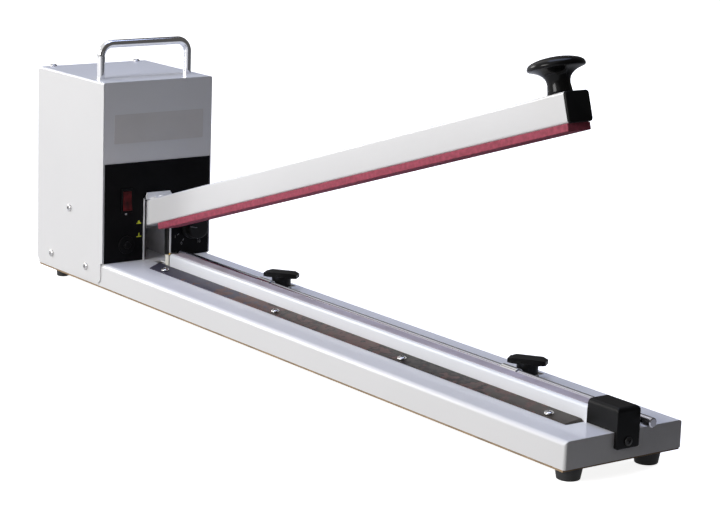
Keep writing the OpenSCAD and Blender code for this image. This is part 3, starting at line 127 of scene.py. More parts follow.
def mix_by(tree, share, first, second, target):
    """Shows the first shader where the share is 0 and the second where it is 1."""
    mix = tree.nodes.new("ShaderNodeMixShader")
    tree.links.new(share, mix.inputs["Fac"])
    tree.links.new(first, mix.inputs[1])
    tree.links.new(second, mix.inputs[2])
    tree.links.new(mix.outputs[0], target)


scene.view_settings.view_transform = "Standard"
world = bpy.data.worlds.new("studio")
scene.world = world
world.use_nodes = True
tree = world.node_tree
room = tree.nodes["Background"]
room.inputs["Color"].default_value = (1.0, 0.93, 0.89, 1)
room.inputs["Strength"].default_value = 0.08
backdrop = tree.nodes.new("ShaderNodeBackground")
backdrop.inputs["Color"].default_value = (1, 1, 1, 1)
where = tree.nodes.new("ShaderNodeTexCoord")
axes = picture_axes(tree, where.outputs["Generated"])
lean = -0.6
pale_left = fading(tree, math_node(tree, "MULTIPLY_ADD", axes["Z"], lean, axes["X"]),
                   start=-0.75, stop=-0.22, first=0.9, last=0.03)
mix_by(tree, seen_or_mirrored(tree, pale_left), room.outputs[0], backdrop.outputs[0],
       tree.nodes["World Output"].inputs["Surface"])

far = 6
counter_mesh = bpy.data.meshes.new("counter")
counter_mesh.from_pydata([(-far, -far, 0), (far, -far, 0), (far, far, 0), (-far, far, 0)],
                         [], [(0, 1, 2, 3)])
counter = mesh_object("counter", counter_mesh)
# The camera sees a white counter that keeps the shadow. To the light it is dark, so little
# light comes up from below.
counter_top, node_list, links, shader = new_material("pale_counter")
shader.inputs["Base Color"].default_value = (0.05, 0.05, 0.05, 1)
shader.inputs["Roughness"].default_value = 0.9
glow = node_list.new("ShaderNodeEmission")
glow.inputs["Strength"].default_value = 0.88
white = node_list.new("ShaderNodeBsdfDiffuse")
white.inputs["Color"].default_value = (0.90, 0.90, 0.90, 1)
both = node_list.new("ShaderNodeAddShader")
links.new(glow.outputs[0], both.inputs[0])
links.new(white.outputs[0], both.inputs[1])
tree = counter_top.node_tree
where = node_list.new("ShaderNodeTexCoord")
axes = picture_axes(tree, where.outputs["Object"])
pale_left = fading(tree, axes["X"], start=0.10, stop=0.55, first=0.5, last=0.04)
mix_by(tree, seen_or_mirrored(tree, pale_left), shader.outputs[0], both.outputs[0],
       node_list["Material Output"].inputs["Surface"])
counter_mesh.materials.append(counter_top)


def lamp(name, place, target, size, watts, colour, glossy=True):
    """A square of soft light that looks at a target; a lamp that isn't glossy leaves no glint."""
    light = bpy.data.lights.new(name, "AREA")
    light.shape = "RECTANGLE"
    light.size, light.size_y = size
    light.energy = watts
    light.color = colour
    holder = bpy.data.objects.new(name, light)
    scene.collection.objects.link(holder)
    holder.visible_glossy = glossy
    holder.location = place
    holder.rotation_euler = (Vector(target) - Vector(place)).to_track_quat("-Z", "Y").to_euler()


warm_white, sky_blue, cool_white = (1.0, 0.99, 0.98), (0.56, 0.66, 1.0), (0.95, 0.97, 1.0)
lamp("user_side_lamp", (0.16, -3.15, 1.20), target=(0.1, 0, 0.12), size=(1.5, 1.3), watts=74,
     colour=warm_white)
lamp("overhead_lamp", (-0.3, 0.3, 3.0), target=(0, 0, 0.1), size=(2.2, 2.0), watts=46,
     colour=sky_blue)
lamp("left_fill_lamp", (-2.6, -1.4, 1.0), target=(0, 0, 0.12), size=(1.3, 1.0), watts=34,
     colour=warm_white)
lamp("rear_fill_lamp", (-0.6, 3.0, 1.1), target=(0.1, 0, 0.12), size=(1.4, 1.0), watts=40,
     colour=cool_white, glossy=False)


# Base tray. One sheet of steel folded down on all sides and enamelled white, with wide bends
# along the top and soft upright corners at the free end.
grain_height = 0.0004


def finish(name, colour, rough, metal=0.0, tone=0.04, tone_size=18.0, grain=0.0, grain_size=900.0,
           stretch=(1, 1, 1), rough_spread=0.08, coat=0.0, specular=0.5, warm=None):
    """A finish whose tone, roughness and fine grain vary over the surface."""
    material, node_list, links, shader = new_material(name)
    where = node_list.new("ShaderNodeTexCoord")
    scale = node_list.new("ShaderNodeMapping")
    scale.inputs["Scale"].default_value = stretch
    links.new(where.outputs["Object"], scale.inputs["Vector"])
    cloud = node_list.new("ShaderNodeTexNoise")
    cloud.inputs["Scale"].default_value = tone_size
    cloud.inputs["Detail"].default_value = 5
    links.new(scale.outputs[0], cloud.inputs["Vector"])
    tones = node_list.new("ShaderNodeValToRGB")
    light = [min(1, c * (1 + tone)) for c in colour]
    dark = [c * (1 - tone) for c in (warm or colour)]
    for stop, shade, share in zip(tones.color_ramp.elements, (dark, light), (0.3, 0.7)):
        stop.color = (*shade, 1)
        stop.position = share
    links.new(cloud.outputs["Fac"], tones.inputs["Fac"])
    links.new(tones.outputs["Color"], shader.inputs["Base Color"])
    shine = node_list.new("ShaderNodeMapRange")
    shine.inputs["To Min"].default_value = max(0.02, rough - rough_spread)
    shine.inputs["To Max"].default_value = min(1.0, rough + rough_spread)
    links.new(cloud.outputs["Fac"], shine.inputs["Value"])
    links.new(shine.outputs[0], shader.inputs["Roughness"])
    shader.inputs["Metallic"].default_value = metal
    shader.inputs["Coat Weight"].default_value = coat
    shader.inputs["Specular IOR Level"].default_value = specular
    if grain:
        fine = node_list.new("ShaderNodeTexNoise")
        fine.inputs["Scale"].default_value = grain_size
        fine.inputs["Detail"].default_value = 3
        links.new(scale.outputs[0], fine.inputs["Vector"])
        bump = node_list.new("ShaderNodeBump")
        bump.inputs["Strength"].default_value = grain
        bump.inputs["Distance"].default_value = grain_height
        links.new(fine.outputs["Fac"], bump.inputs["Height"])
        links.new(bump.outputs[0], shader.inputs["Normal"])
    return material


enamel = finish("white_enamel", (0.85, 0.85, 0.855), 0.30, tone=0.012, tone_size=9, grain=0.05,
                grain_size=420, rough_spread=0.04, coat=0.25)


def settle(piece, material, node, body):
    """Gives a piece its material and its body, and hides the solid of the frame it replaces."""
    piece.data.materials.clear()
    piece.data.materials.append(material)
    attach(piece, body)
    if node:
        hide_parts(node)


def smooth(piece, angle=35):
    """Shades a piece smooth, apart from edges that turn by more than an angle."""
    for face in piece.data.polygons:
        face.use_smooth = True
    piece.data.set_sharp_from_angle(angle=math.radians(angle))
    return piece


def soften(piece, width, steps=3, angle=30):
    """Rounds the sharp edges of a piece and shades it smooth."""
    rounding = piece.modifiers.new("rounding", "BEVEL")
    rounding.width = width
    rounding.segments = steps
    rounding.limit_method = "ANGLE"
    rounding.angle_limit = math.radians(angle)
    rounding.miter_outer = "MITER_ARC"
    flats = piece.modifiers.new("flats", "WEIGHTED_NORMAL")
    flats.weight = 100
    flats.keep_sharp = True
    for face in piece.data.polygons:
        face.use_smooth = True
    return piece


weld, flat_angle = 1e-6, math.radians(0.4)


def dress(node, material, body, edge=0.0, steps=2, angle=28):
    """Copies a solid of the frame, rounds its edges and gives the copy a finish."""
    source = nodes[node]
    mesh = source.data.copy()
    build = bmesh.new()
    build.from_mesh(mesh)
    build.transform(source.matrix_world)
    bmesh.ops.remove_doubles(build, verts=build.verts, dist=weld)
    bmesh.ops.dissolve_limit(build, angle_limit=flat_angle, verts=build.verts, edges=build.edges)
    build.to_mesh(mesh)
    build.free()
    piece = mesh_object(node + "_made", mesh)
    if edge:
        soften(piece, edge, steps, angle)
    else:
        smooth(piece)
    settle(piece, material, node, body)


dress("base_tray", enamel, "base", edge=0.0007, steps=3)


# Bottom board and feet. A brown hardboard closes the tray from below, so its edge shows as a
# thin line. Four moulded rubber feet are screwed through it, larger ones under the free end.
hardboard = finish("hardboard", (0.36, 0.25, 0.15), 0.75, tone=0.25, tone_size=60, grain=0.5,
                   grain_size=700)
foot_rubber = finish("foot_rubber", (0.018, 0.018, 0.019), 0.55, tone=0.2, tone_size=80, grain=0.3,
                     grain_size=900)


def lathe(name, profile, steps=64, matrix=None):
    """Turns an outline of (radius, height) points round the Z axis."""
    mesh = bpy.data.meshes.new(name)
    build = bmesh.new()
    rings = []
    for r, z in profile:
        if r == 0:
            rings.append([build.verts.new((0, 0, z))])
        else:
            rings.append([build.verts.new((r * math.cos(2 * math.pi * i / steps),
                                           r * math.sin(2 * math.pi * i / steps), z))
                          for i in range(steps)])
    for lower, upper in zip(rings, rings[1:]):
        for i in range(steps):
            j = (i + 1) % steps
            ring = [lower[i % len(lower)], lower[j % len(lower)],
                    upper[j % len(upper)], upper[i % len(upper)]]
            corners = []
            for v in ring:
                if v not in corners:
                    corners.append(v)
            if len(corners) > 2:
                build.faces.new(corners)
    bmesh.ops.recalc_face_normals(build, faces=build.faces)
    if matrix:
        build.transform(matrix)
    build.to_mesh(mesh)
    build.free()
    return smooth(mesh_object(name, mesh))


def join(name, pieces):
    """Makes one mesh of several pieces, with their modifiers applied."""
    graph = bpy.context.evaluated_depsgraph_get()
    graph.update()
    build = bmesh.new()
    for piece in pieces:
        done = bpy.data.meshes.new_from_object(piece.evaluated_get(graph))
        done.transform(piece.matrix_world)
        build.from_mesh(done)
        bpy.data.meshes.remove(done)
    mesh = bpy.data.meshes.new(name)
    build.to_mesh(mesh)
    build.free()
    for piece in pieces:
        bpy.data.objects.remove(piece)
    return smooth(mesh_object(name, mesh))


def arc(cx, cz, r, start, stop, steps=6):
    """Points on an arc round (cx, cz), from one angle to another in degrees."""
    return [(cx + r * math.cos(math.radians(start + (stop - start) * i / steps)),
             cz + r * math.sin(math.radians(start + (stop - start) * i / steps)))
            for i in range(steps + 1)]


dress("bottom_plate", hardboard, "base")
foot_hole_r, foot_recess_r, foot_lip, foot_round = 0.0021, 0.0036, 0.0005, 0.0012
foot_edge, foot_straight, foot_taper = 0.0006, 0.003, 0.44
for node, foot_d in (("front_feet", 0.022), ("rear_feet", 0.014)):
    low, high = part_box(node)
    r, floor_r, tall = foot_d / 2, foot_d * foot_taper, high.z - low.z
    profile = [(foot_hole_r, tall), (r - foot_edge, tall), (r, tall - foot_edge),
               (r, tall - foot_straight)]
    profile += arc(floor_r - foot_round, foot_round, foot_round, 10, -90)
    profile += [(foot_recess_r + foot_lip, 0), (foot_recess_r, foot_lip), (foot_recess_r, tall / 2),
                (foot_hole_r, tall / 2), (foot_hole_r, tall)]
    places = [Matrix.Translation(((low.x + high.x) / 2, y, low.z))
              for y in (low.y + r, high.y - r)]
    feet = [lathe("foot", profile, steps=48, matrix=place) for place in places]
    settle(join(node + "_moulded", feet), foot_rubber, node, "base")


# Housing cover. A steel sheet folded into an upside-down U that drops over the base on both
# sides, enamelled like the base. A front plate with folded feet and a vented rear panel close
# its ends.
dress("housing_cover", enamel, "base", edge=0.0004, steps=2)
dress("rear_panel", enamel, "base", edge=0.0003, steps=2)
dress("front_plate", enamel, "base", edge=0.0002, steps=2)


# Screws. Pan-head screws with a cross recess, in bright zinc-plated steel. The lower ones hold
# the cover to the base, and the two on top hold it to the rear panel.
plated = finish("bright_plated_steel", (0.56, 0.55, 0.54), 0.16, metal=1.0, tone=0.06,
                tone_size=300, grain=0.05, rough_spread=0.06)
# Half length and half width of the recess as shares of the head's width, and its height as a
# share of the head's
recess_mouth, recess_floor, recess_turn = (0.30, 0.075, 1.3), (0.14, 0.055, 0.30), 20
head_side, head_seat, head_chamfer = 0.35, 0.96, 0.12


def screw_head(name, d, tall):
    """A domed head with its cross recess, seat at the origin and axis along Z."""
    r = d / 2
    dome = [(r * math.sin(math.radians(a)),
             tall * (head_side + (1 - head_side) * math.cos(math.radians(a))))
            for a in range(90, 0, -9)]
    head = lathe(name, [(0, 0), (r * head_seat, 0), (r, tall * head_chamfer)] + dome + [(0, tall)],
                 steps=48)
    cutters = []
    for turn in (0, 90):
        build = bmesh.new()
        bmesh.ops.create_cube(build, size=1)
        for v in build.verts:
            half, width, z = recess_mouth if v.co.z > 0 else recess_floor
            v.co = (math.copysign(half * d, v.co.x), math.copysign(width * d, v.co.y), z * tall)
        spin = Matrix.Rotation(math.radians(turn + recess_turn), 3, "Z")
        bmesh.ops.rotate(build, verts=build.verts, matrix=spin)
        mesh = bpy.data.meshes.new("recess")
        build.to_mesh(mesh)
        build.free()
        cutters.append(mesh_object("recess", mesh))
        cut = head.modifiers.new("recess", "BOOLEAN")
        cut.operation = "DIFFERENCE"
        cut.solver = "EXACT"
        cut.object = cutters[-1]
    made = join(name, [head])
    for cutter in cutters:
        bpy.data.objects.remove(cutter)
    return made


def copies(name, source, places):
    """One mesh of copies of a piece, each moved by a matrix."""
    build = bmesh.new()
    for place in places:
        mesh = source.data.copy()
        mesh.transform(place)
        build.from_mesh(mesh)
        bpy.data.meshes.remove(mesh)
    mesh = bpy.data.meshes.new(name)
    build.to_mesh(mesh)
    build.free()
    bpy.data.objects.remove(source)
    return smooth(mesh_object(name, mesh), angle=40)


def facing(place, normal, turn=0.0):
    """A matrix that stands a piece on a point with its Z axis along a normal."""
    return (Matrix.Translation(place) @ Vector(normal).to_track_quat("Z", "Y").to_matrix().to_4x4()
            @ Matrix.Rotation(turn, 4, "Z"))


face_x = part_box("control_panel")[1].x
cover_low, cover_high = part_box("housing_cover")
base_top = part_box("base_tray")[1].z
top_inset, top_y = 0.0065, 0.049
places = [facing((cover_low.x + top_inset, s * top_y, cover_high.z), (0, 0, 1), turn=s * 0.5)
          for s in (-1, 1)]
side_places = ((-0.066, 0.0457), (-0.1019, -0.008), (-0.0324, -0.008))
for s in (-1, 1):
    for i, (x, z) in enumerate(side_places):
        places.append(facing((face_x + x, s * cover_high.y, base_top + z), (0, s, 0),
                             turn=0.7 * i + s))
pan_d, pan_h = 0.0074, 0.0022
heads = copies("cover_screw_heads", screw_head("cover_screw", pan_d, pan_h), places)
settle(heads, plated, "cover_screws", "base")


# Carry handle. A chrome-plated steel rod, bent twice, that stands on top of the housing. Screws
# from inside the cover hold its two ends.
chrome = finish("bright_chrome", (0.80, 0.80, 0.81), 0.05, metal=1.0, tone=0.03, tone_size=40,
                rough_spread=0.03)
low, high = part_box("carry_handle")
rod_r = (high.x - low.x) / 2
span, tall, turn_r = (high.y - low.y) / 2 - rod_r, high.z - low.z - rod_r, 0.012
way = [(-span, 0.0)] + arc(-span + turn_r, tall - turn_r, turn_r, 180, 90, steps=14)
way += arc(span - turn_r, tall - turn_r, turn_r, 90, 0, steps=14) + [(span, 0.0)]


def tube_along(name, points, r, sides=32):
    """A round bar swept through points that lie in one plane across X."""
    mesh = bpy.data.meshes.new(name)
    build = bmesh.new()
    rings = []
    for i, p in enumerate(points):
        ahead, behind = points[min(i + 1, len(points) - 1)], points[max(i - 1, 0)]
        run = Vector((0, ahead[0] - behind[0], ahead[1] - behind[1])).normalized()
        side = Vector((1, 0, 0))
        lift = run.cross(side)
        turns = [2 * math.pi * k / sides for k in range(sides)]
        spokes = [math.cos(a) * side + math.sin(a) * lift for a in turns]
        rings.append([build.verts.new(Vector((0, *p)) + r * spoke) for spoke in spokes])
    for a, c in zip(rings, rings[1:]):
        for k in range(sides):
            build.faces.new((a[k], a[(k + 1) % sides], c[(k + 1) % sides], c[k]))
    build.faces.new(rings[0])
    build.faces.new(rings[-1])
    bmesh.ops.recalc_face_normals(build, faces=build.faces)
    build.to_mesh(mesh)
    build.free()
    return smooth(mesh_object(name, mesh))


handle = tube_along("carry_handle_bent", way, rod_r)
handle.data.transform(Matrix.Translation(((low.x + high.x) / 2, 0, low.z)))
settle(handle, chrome, "carry_handle", "base")


# Control panel. A black-painted plate with printed marks: a white dot and two yellow signs
# beside the switch and the breaker, and a scale of numbers round the timer's knob.
panel_black = finish("panel_black", (0.006, 0.006, 0.0065), 0.5, tone=0.25, tone_size=50,
                     grain=0.12, grain_size=800, specular=0.06)
# White print greyed to 0.22 as painted shade, for the scale, its numbers and the pointer.
white_ink_painted_shade = finish("white_ink_painted_shade", (0.22, 0.22, 0.22), 0.5, tone=0.03, specular=0.1)
yellow_ink = finish("yellow_ink", (0.62, 0.66, 0.06), 0.5, tone=0.05, specular=0.1)
dress("control_panel", panel_black, "base", edge=0.0002, steps=2)
print_low, print_high = 0.00001, 0.00008


def print_on_panel(name, outlines, ink, y, z):
    """Flat printed shapes on the panel; outlines are lists of (y, z) points from one place."""
    mesh = bpy.data.meshes.new(name)
    build = bmesh.new()
    for outline in outlines:
        lower = [build.verts.new((face_x + print_low, y + p[0], z + p[1])) for p in outline]
        upper = [build.verts.new((face_x + print_high, y + p[0], z + p[1])) for p in outline]
        build.faces.new(upper)
        build.faces.new(lower)
        for i in range(len(outline)):
            j = (i + 1) % len(outline)
            build.faces.new((lower[i], lower[j], upper[j], upper[i]))
    bmesh.ops.recalc_face_normals(build, faces=build.faces)
    build.to_mesh(mesh)
    build.free()
    piece = mesh_object(name, mesh)
    piece.data.materials.append(ink)
    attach(piece, "base")


def disc(r, steps=24):
    """Outline of a round dot."""
    return [(r * math.cos(2 * math.pi * i / steps), r * math.sin(2 * math.pi * i / steps))
            for i in range(steps)]


def bar_mark(angle, inner, outer, width):
    """Outline of a short line that points away from the dial's middle."""
    a = math.radians(angle)
    along, across = (math.cos(a), math.sin(a)), (-math.sin(a), math.cos(a))
    half = width / 2
    return [(along[0] * r + across[0] * w, along[1] * r + across[1] * w)
            for r, w in ((inner, -half), (outer, -half), (outer, half), (inner, half))]


timer_y, timer_z = 0.0395, base_top + 0.0305
scale_angles = [240 - 30 * i for i in range(11)]
mark_inner, mark_outer, mark_w = 0.0155, 0.0180, 0.0007
marks = [bar_mark(a, mark_inner, mark_outer, mark_w) for a in scale_angles]
print_on_panel("scale_marks", marks, white_ink_painted_shade, timer_y, timer_z)
sign_cap = [(-0.0015, -0.0012), (0.0015, -0.0012), (0.0009, 0.0012), (-0.0009, 0.0012)]
sign_bar = [(-0.0027, -0.0022), (0.0027, -0.0022), (0.0027, -0.0012), (-0.0027, -0.0012)]
sign_stem = [(-0.0006, -0.0013), (0.0006, -0.0013), (0.0006, 0.0020), (-0.0006, 0.0020)]
upper_sign, lower_sign = (-0.0215, base_top + 0.0397), (-0.0213, base_top + 0.0262)
print_on_panel("reset_sign_upper", [sign_cap, sign_bar], yellow_ink, *upper_sign)
print_on_panel("reset_sign_lower", [sign_stem, sign_bar], yellow_ink, *lower_sign)
number_ring_r, number_h, number_off, number_half_t = 0.0208, 0.0042, 0.00005, 0.00004


def number_on_panel(text, y, z, tall):
    """One number laid flat on the panel, facing along X."""
    curve = bpy.data.curves.new("number_" + text, "FONT")
    curve.body = text
    curve.size = tall
    curve.align_x = curve.align_y = "CENTER"
    curve.extrude = number_half_t
    flat = bpy.data.objects.new("number_" + text, curve)
    scene.collection.objects.link(flat)
    flat.matrix_world = (Matrix.Translation((face_x + number_off, y, z))
                         @ Matrix(((0, 0, 1, 0), (1, 0, 0, 0), (0, 1, 0, 0), (0, 0, 0, 1))))
    bpy.context.view_layer.update()
    return flat


digits = [number_on_panel(str(i), timer_y + number_ring_r * math.cos(math.radians(a)),
                          timer_z + number_ring_r * math.sin(math.radians(a)), number_h)
          for i, a in enumerate(scale_angles)]
numbers = join("scale_numbers", digits)
settle(numbers, white_ink_painted_shade, None, "base")


# Label. A pale paper sticker with rounded corners, glued flat on the front plate above the
# controls.
paper = finish("label_paper", (0.74, 0.72, 0.70), 0.45, tone=0.02, tone_size=30, grain=0.15,
               grain_size=1500)
dress("label_sticker", paper, "base")


# Rocker. A red moulded rocker with a hollow face that turns in a black frame, which snaps into
# the panel from the front.
red_plastic = finish("red_rocker_plastic", (0.095, 0.009, 0.011), 0.40, tone=0.35,
                     tone_size=160, specular=0.1, warm=(0.045, 0.007, 0.008))
black_plastic = finish("black_moulded_plastic", (0.007, 0.007, 0.007), 0.34, tone=0.2, tone_size=50,
                       grain=0.06, grain_size=600, specular=0.14)
satin_black = finish("satin_black_plastic", (0.006, 0.006, 0.0065), 0.45, tone=0.2, tone_size=70,
                     grain=0.2, grain_size=1100, specular=0.08)
dress("rocker", red_plastic, "power_rocker", edge=0.0004, steps=3)
dress("rocker_frame", satin_black, "base", edge=0.00035, steps=2)
bright_ink = finish("bright_ink", (0.75, 0.75, 0.75), 0.5, tone=0.03, specular=0.1)
dot_r, dot_y, dot_z = 0.0013, -0.0365, base_top + 0.0489
print_on_panel("frame_dot", [disc(dot_r)], bright_ink, dot_y, dot_z)


# Breaker. A push-to-reset breaker: a threaded neck through the panel, a round ring nut and a
# black button in its middle.
dress("breaker_button", satin_black, "reset_button", edge=0.0008, steps=3)
dress("breaker_body", satin_black, "base", edge=0.0006, steps=3)


# Timer. A fluted black knob with a white pointer line, greyed as painted shade, pushed onto
# the shaft of a potentiometer that sits behind the panel.
def box_mesh(name, low, high):
    """A mesh that fills the box between two corners."""
    mesh = bpy.data.meshes.new(name)
    build = bmesh.new()
    bmesh.ops.create_cube(build, size=1)
    for v in build.verts:
        v.co = [lo + (c + 0.5) * (hi - lo) for c, lo, hi in zip(v.co, low, high)]
    build.to_mesh(mesh)
    build.free()
    return mesh


dress("timer_knob", black_plastic, "timer_dial", edge=0.0004, steps=2)
knob_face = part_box("timer_knob")[1].x
line_half_w, line_inner, line_outer = 0.00045, 0.003, 0.0112
line_sunk, line_proud, line_angle = 0.0003, 0.00012, math.radians(78)
pointer = box_mesh("pointer", (knob_face - line_sunk, -line_half_w, line_inner),
                   (knob_face + line_proud, line_half_w, line_outer))
pointer.transform(Matrix.Translation((0, timer_y, timer_z)) @ Matrix.Rotation(line_angle, 4, "X"))
line = soften(mesh_object("knob_pointer", pointer), width=0.0001, steps=1)
settle(line, white_ink_painted_shade, None, "timer_dial")
zinc = finish("zinc_plate", (0.52, 0.52, 0.53), 0.35, metal=1.0, tone=0.08, tone_size=90)
dress("timer_pot", zinc, "base")
dress("pot_shaft", zinc, "timer_dial", edge=0.0003, steps=2)


# Hinge bracket. A steel bracket, enamelled white, that stands in the panel's slot and carries
# the hinge pin. Black nylon strips on its inner faces guide the arm.
nylon = finish("black_nylon", (0.02, 0.02, 0.021), 0.5, tone=0.15, tone_size=60, grain=0.2)
dress("hinge_bracket", enamel, "base", edge=0.0003, steps=2)
dress("guide_strips", nylon, "base", edge=0.0003, steps=2)
dress("hinge_pin", plated, "base", edge=0.0003, steps=2)
spring_steel = finish("spring_steel", (0.42, 0.42, 0.43), 0.3, metal=1.0, tone=0.1, tone_size=120)
dress("hinge_clips", spring_steel, "base")


# Arm. A square steel tube with drawn corners, enamelled white and raised by a spring. A black
# moulded cap closes its end, and a bent plate near the hinge stops it at the panel.
pin_back, pin_z = 0.044, 0.07075
pivot = Vector((face_x - pin_back, 0, pin_z))
lift = math.radians(17.6)
on_arm = Matrix.Translation(pivot) @ Matrix.Rotation(-lift, 4, "Y")
side, arm_wall, tail, reach = 0.025, 0.0015, 0.062, 0.6925


def ring_of(half, corner):
    """Outline of a square with rounded corners, as (y, z) points."""
    points = []
    for cy, cz, start in ((1, 1, 0), (-1, 1, 90), (-1, -1, 180), (1, -1, 270)):
        points += arc(cy * (half - corner), cz * (half - corner), corner, start, start + 90)
    return points


def drawn_tube(name, outer, inner, start, stop):
    """A hollow bar along X between two outlines with as many points."""
    mesh = bpy.data.meshes.new(name)
    build = bmesh.new()
    rings = [[build.verts.new((x, p[0], p[1])) for p in outline]
             for outline, x in ((outer, start), (outer, stop), (inner, stop), (inner, start))]
    for a, c in zip(rings, rings[1:] + rings[:1]):
        for i in range(len(outer)):
            j = (i + 1) % len(outer)
            build.faces.new((a[i], a[j], c[j], c[i]))
    bmesh.ops.recalc_face_normals(build, faces=build.faces)
    build.to_mesh(mesh)
    build.free()
    return mesh_object(name, mesh)


outer_corner, inner_corner = 0.0022, 0.0008
tube = drawn_tube("arm_tube_drawn", ring_of(side / 2, outer_corner),
                  ring_of(side / 2 - arm_wall, inner_corner), -tail, reach)
tube.data.transform(on_arm)
settle(smooth(tube), enamel, "arm_tube", "arm")
bronze = finish("bronze_sleeve", (0.5, 0.36, 0.14), 0.35, metal=1.0)
dress("hinge_sleeve", bronze, "arm")
dress("spring_peg", plated, "arm", edge=0.0003, steps=2)
dress("stop_plate", enamel, "arm", edge=0.0003, steps=2)

cap = bpy.data.meshes.new("arm_end_cap_moulded")
build = bmesh.new()
# Distance past the tube's end, half width and corner radius of each ring of the cap
cap_rings = ((-0.009, 0.0106, 0.001), (0, 0.0106, 0.001), (0, 0.0125, 0.0026),
             (0.0016, 0.0125, 0.0026), (0.0022, 0.0122, 0.0026), (0.0025, 0.0115, 0.0024))
rings = [[build.verts.new((reach + past, *point)) for point in ring_of(half, corner)]
         for past, half, corner in cap_rings]
for a, c in zip(rings, rings[1:]):
    for i in range(len(a)):
        j = (i + 1) % len(a)
        build.faces.new((a[i], a[j], c[j], c[i]))
build.faces.new(rings[-1])
build.faces.new(rings[0])
bmesh.ops.recalc_face_normals(build, faces=build.faces)
build.transform(on_arm)
build.to_mesh(cap)
build.free()
settle(smooth(mesh_object("arm_end_cap_moulded", cap), angle=40), black_plastic, "arm_end_cap",
       "arm")


# Sealing pad. A strip of dark rose silicone sponge with a slightly mottled skin, glued under
# the arm from near the hinge to its end.
silicone = finish("rose_silicone", (0.43, 0.090, 0.135), 0.75, tone=0.14, tone_size=240, grain=0.5,
                  grain_size=900, specular=0.15, warm=(0.36, 0.080, 0.115))
pad_start, pad_t, pad_w, skin_share = 0.0627, 0.0063, 0.024, 0.55
pad_end = reach - 0.001
strip = box_mesh("sealing_pad_strip", (pad_start, -pad_w / 2, -side / 2 - pad_t),
                 (pad_end, pad_w / 2, -side / 2))
build = bmesh.new()
build.from_mesh(strip)
bmesh.ops.bisect_plane(build, geom=build.verts[:] + build.edges[:] + build.faces[:],
                       plane_co=(0, 0, -side / 2 - pad_t * skin_share), plane_no=(0, 0, 1))
build.to_mesh(strip)
build.free()
strip.transform(on_arm)
pad = soften(mesh_object("sealing_pad_strip", strip), width=0.0007, steps=3)
settle(pad, silicone, "sealing_pad", "arm")


# Lift knob. A black mushroom knob turned in glossy plastic, near the arm's end. A screw from
# inside the tube holds it.
knob_gloss = finish("glossy_black_knob", (0.006, 0.006, 0.006), 0.16, tone=0.2, tone_size=40,
                    rough_spread=0.04, specular=0.16)
foot_and_neck = [(0, 0), (0.0100, 0), (0.0105, 0.0006), (0.0100, 0.0030), (0.0094, 0.0080)]
flare = [(0.0097, 0.0108), (0.0106, 0.0132), (0.0122, 0.0153), (0.0145, 0.0171),
         (0.0172, 0.0185), (0.0200, 0.0195), (0.0224, 0.0203)]
rim = [(0.0232, 0.0208), (0.0236, 0.0217), (0.0235, 0.0227)]
dome_r, dome_z, dome_h = 0.0234, 0.0228, 0.0070
dome = [(dome_r * math.cos(math.radians(a)), dome_z + dome_h * math.sin(math.radians(a)))
        for a in range(8, 90, 8)]
profile = foot_and_neck + flare + rim + dome + [(0, dome_z + dome_h)]
knob_inset = 0.0175
on_tube = Matrix.Translation((reach - knob_inset, 0, side / 2))
knob = lathe("lift_knob_turned", profile, steps=96, matrix=on_arm @ on_tube)
settle(smooth(knob, angle=60), knob_gloss, "lift_knob", "arm")
dress("lift_knob_screw", plated, "arm")


# Sealing bar. An extruded and anodised aluminium bar with a flange along its back for the
# clamp rod. Glass tape, the flat heating ribbon and the release sheet lie on it in this order.
anodised = finish("anodised_aluminium", (0.88, 0.90, 0.94), 0.42, metal=0.05, tone=0.04,
                  tone_size=30, grain=0.12, grain_size=1500, stretch=(0.02, 1, 1),
                  rough_spread=0.05)
dress("sealing_bar", anodised, "base", edge=0.0004, steps=3, angle=50)
woven_glass = finish("woven_glass_tape", (0.56, 0.53, 0.57), 0.7, tone=0.1, tone_size=900)
dress("glass_tape", woven_glass, "base")
ribbon_alloy = finish("ribbon_alloy", (0.45, 0.42, 0.38), 0.3, metal=1.0, tone=0.1, tone_size=60,
                      stretch=(0.1, 1, 1))
dress("heating_ribbon", ribbon_alloy, "base")
release_cloth = finish("release_cloth", (0.50, 0.46, 0.53), 0.45, tone=0.08, tone_size=50,
                       grain=0.35, grain_size=1600, warm=(0.44, 0.39, 0.43))
dress("release_sheet", release_cloth, "base")
cream = finish("cream_plastic", (0.84, 0.82, 0.74), 0.45, tone=0.06, tone_size=80)
dress("terminal_post", cream, "base", edge=0.0004, steps=2)
brass = finish("brass_screw", (0.62, 0.44, 0.14), 0.25, metal=1.0)
dress("terminal_screws", brass, "base")


# End block. A black moulded block at the free end that covers the ribbon's far terminal. Its
# front flap is screwed to the end of the base.
dress("end_block", black_plastic, "base", edge=0.0007, steps=3, angle=40)
block_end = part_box("end_block")[1].x
screw_down = 0.0077
heads = copies("end_block_screw_head", screw_head("end_screw", pan_d, pan_h),
               [facing((block_end, 0, base_top - screw_down), (1, 0, 0), turn=0.6)])
blackened = finish("blackened_screw", (0.03, 0.03, 0.03), 0.35, metal=0.6)
settle(heads, blackened, "end_block_screw", "base")
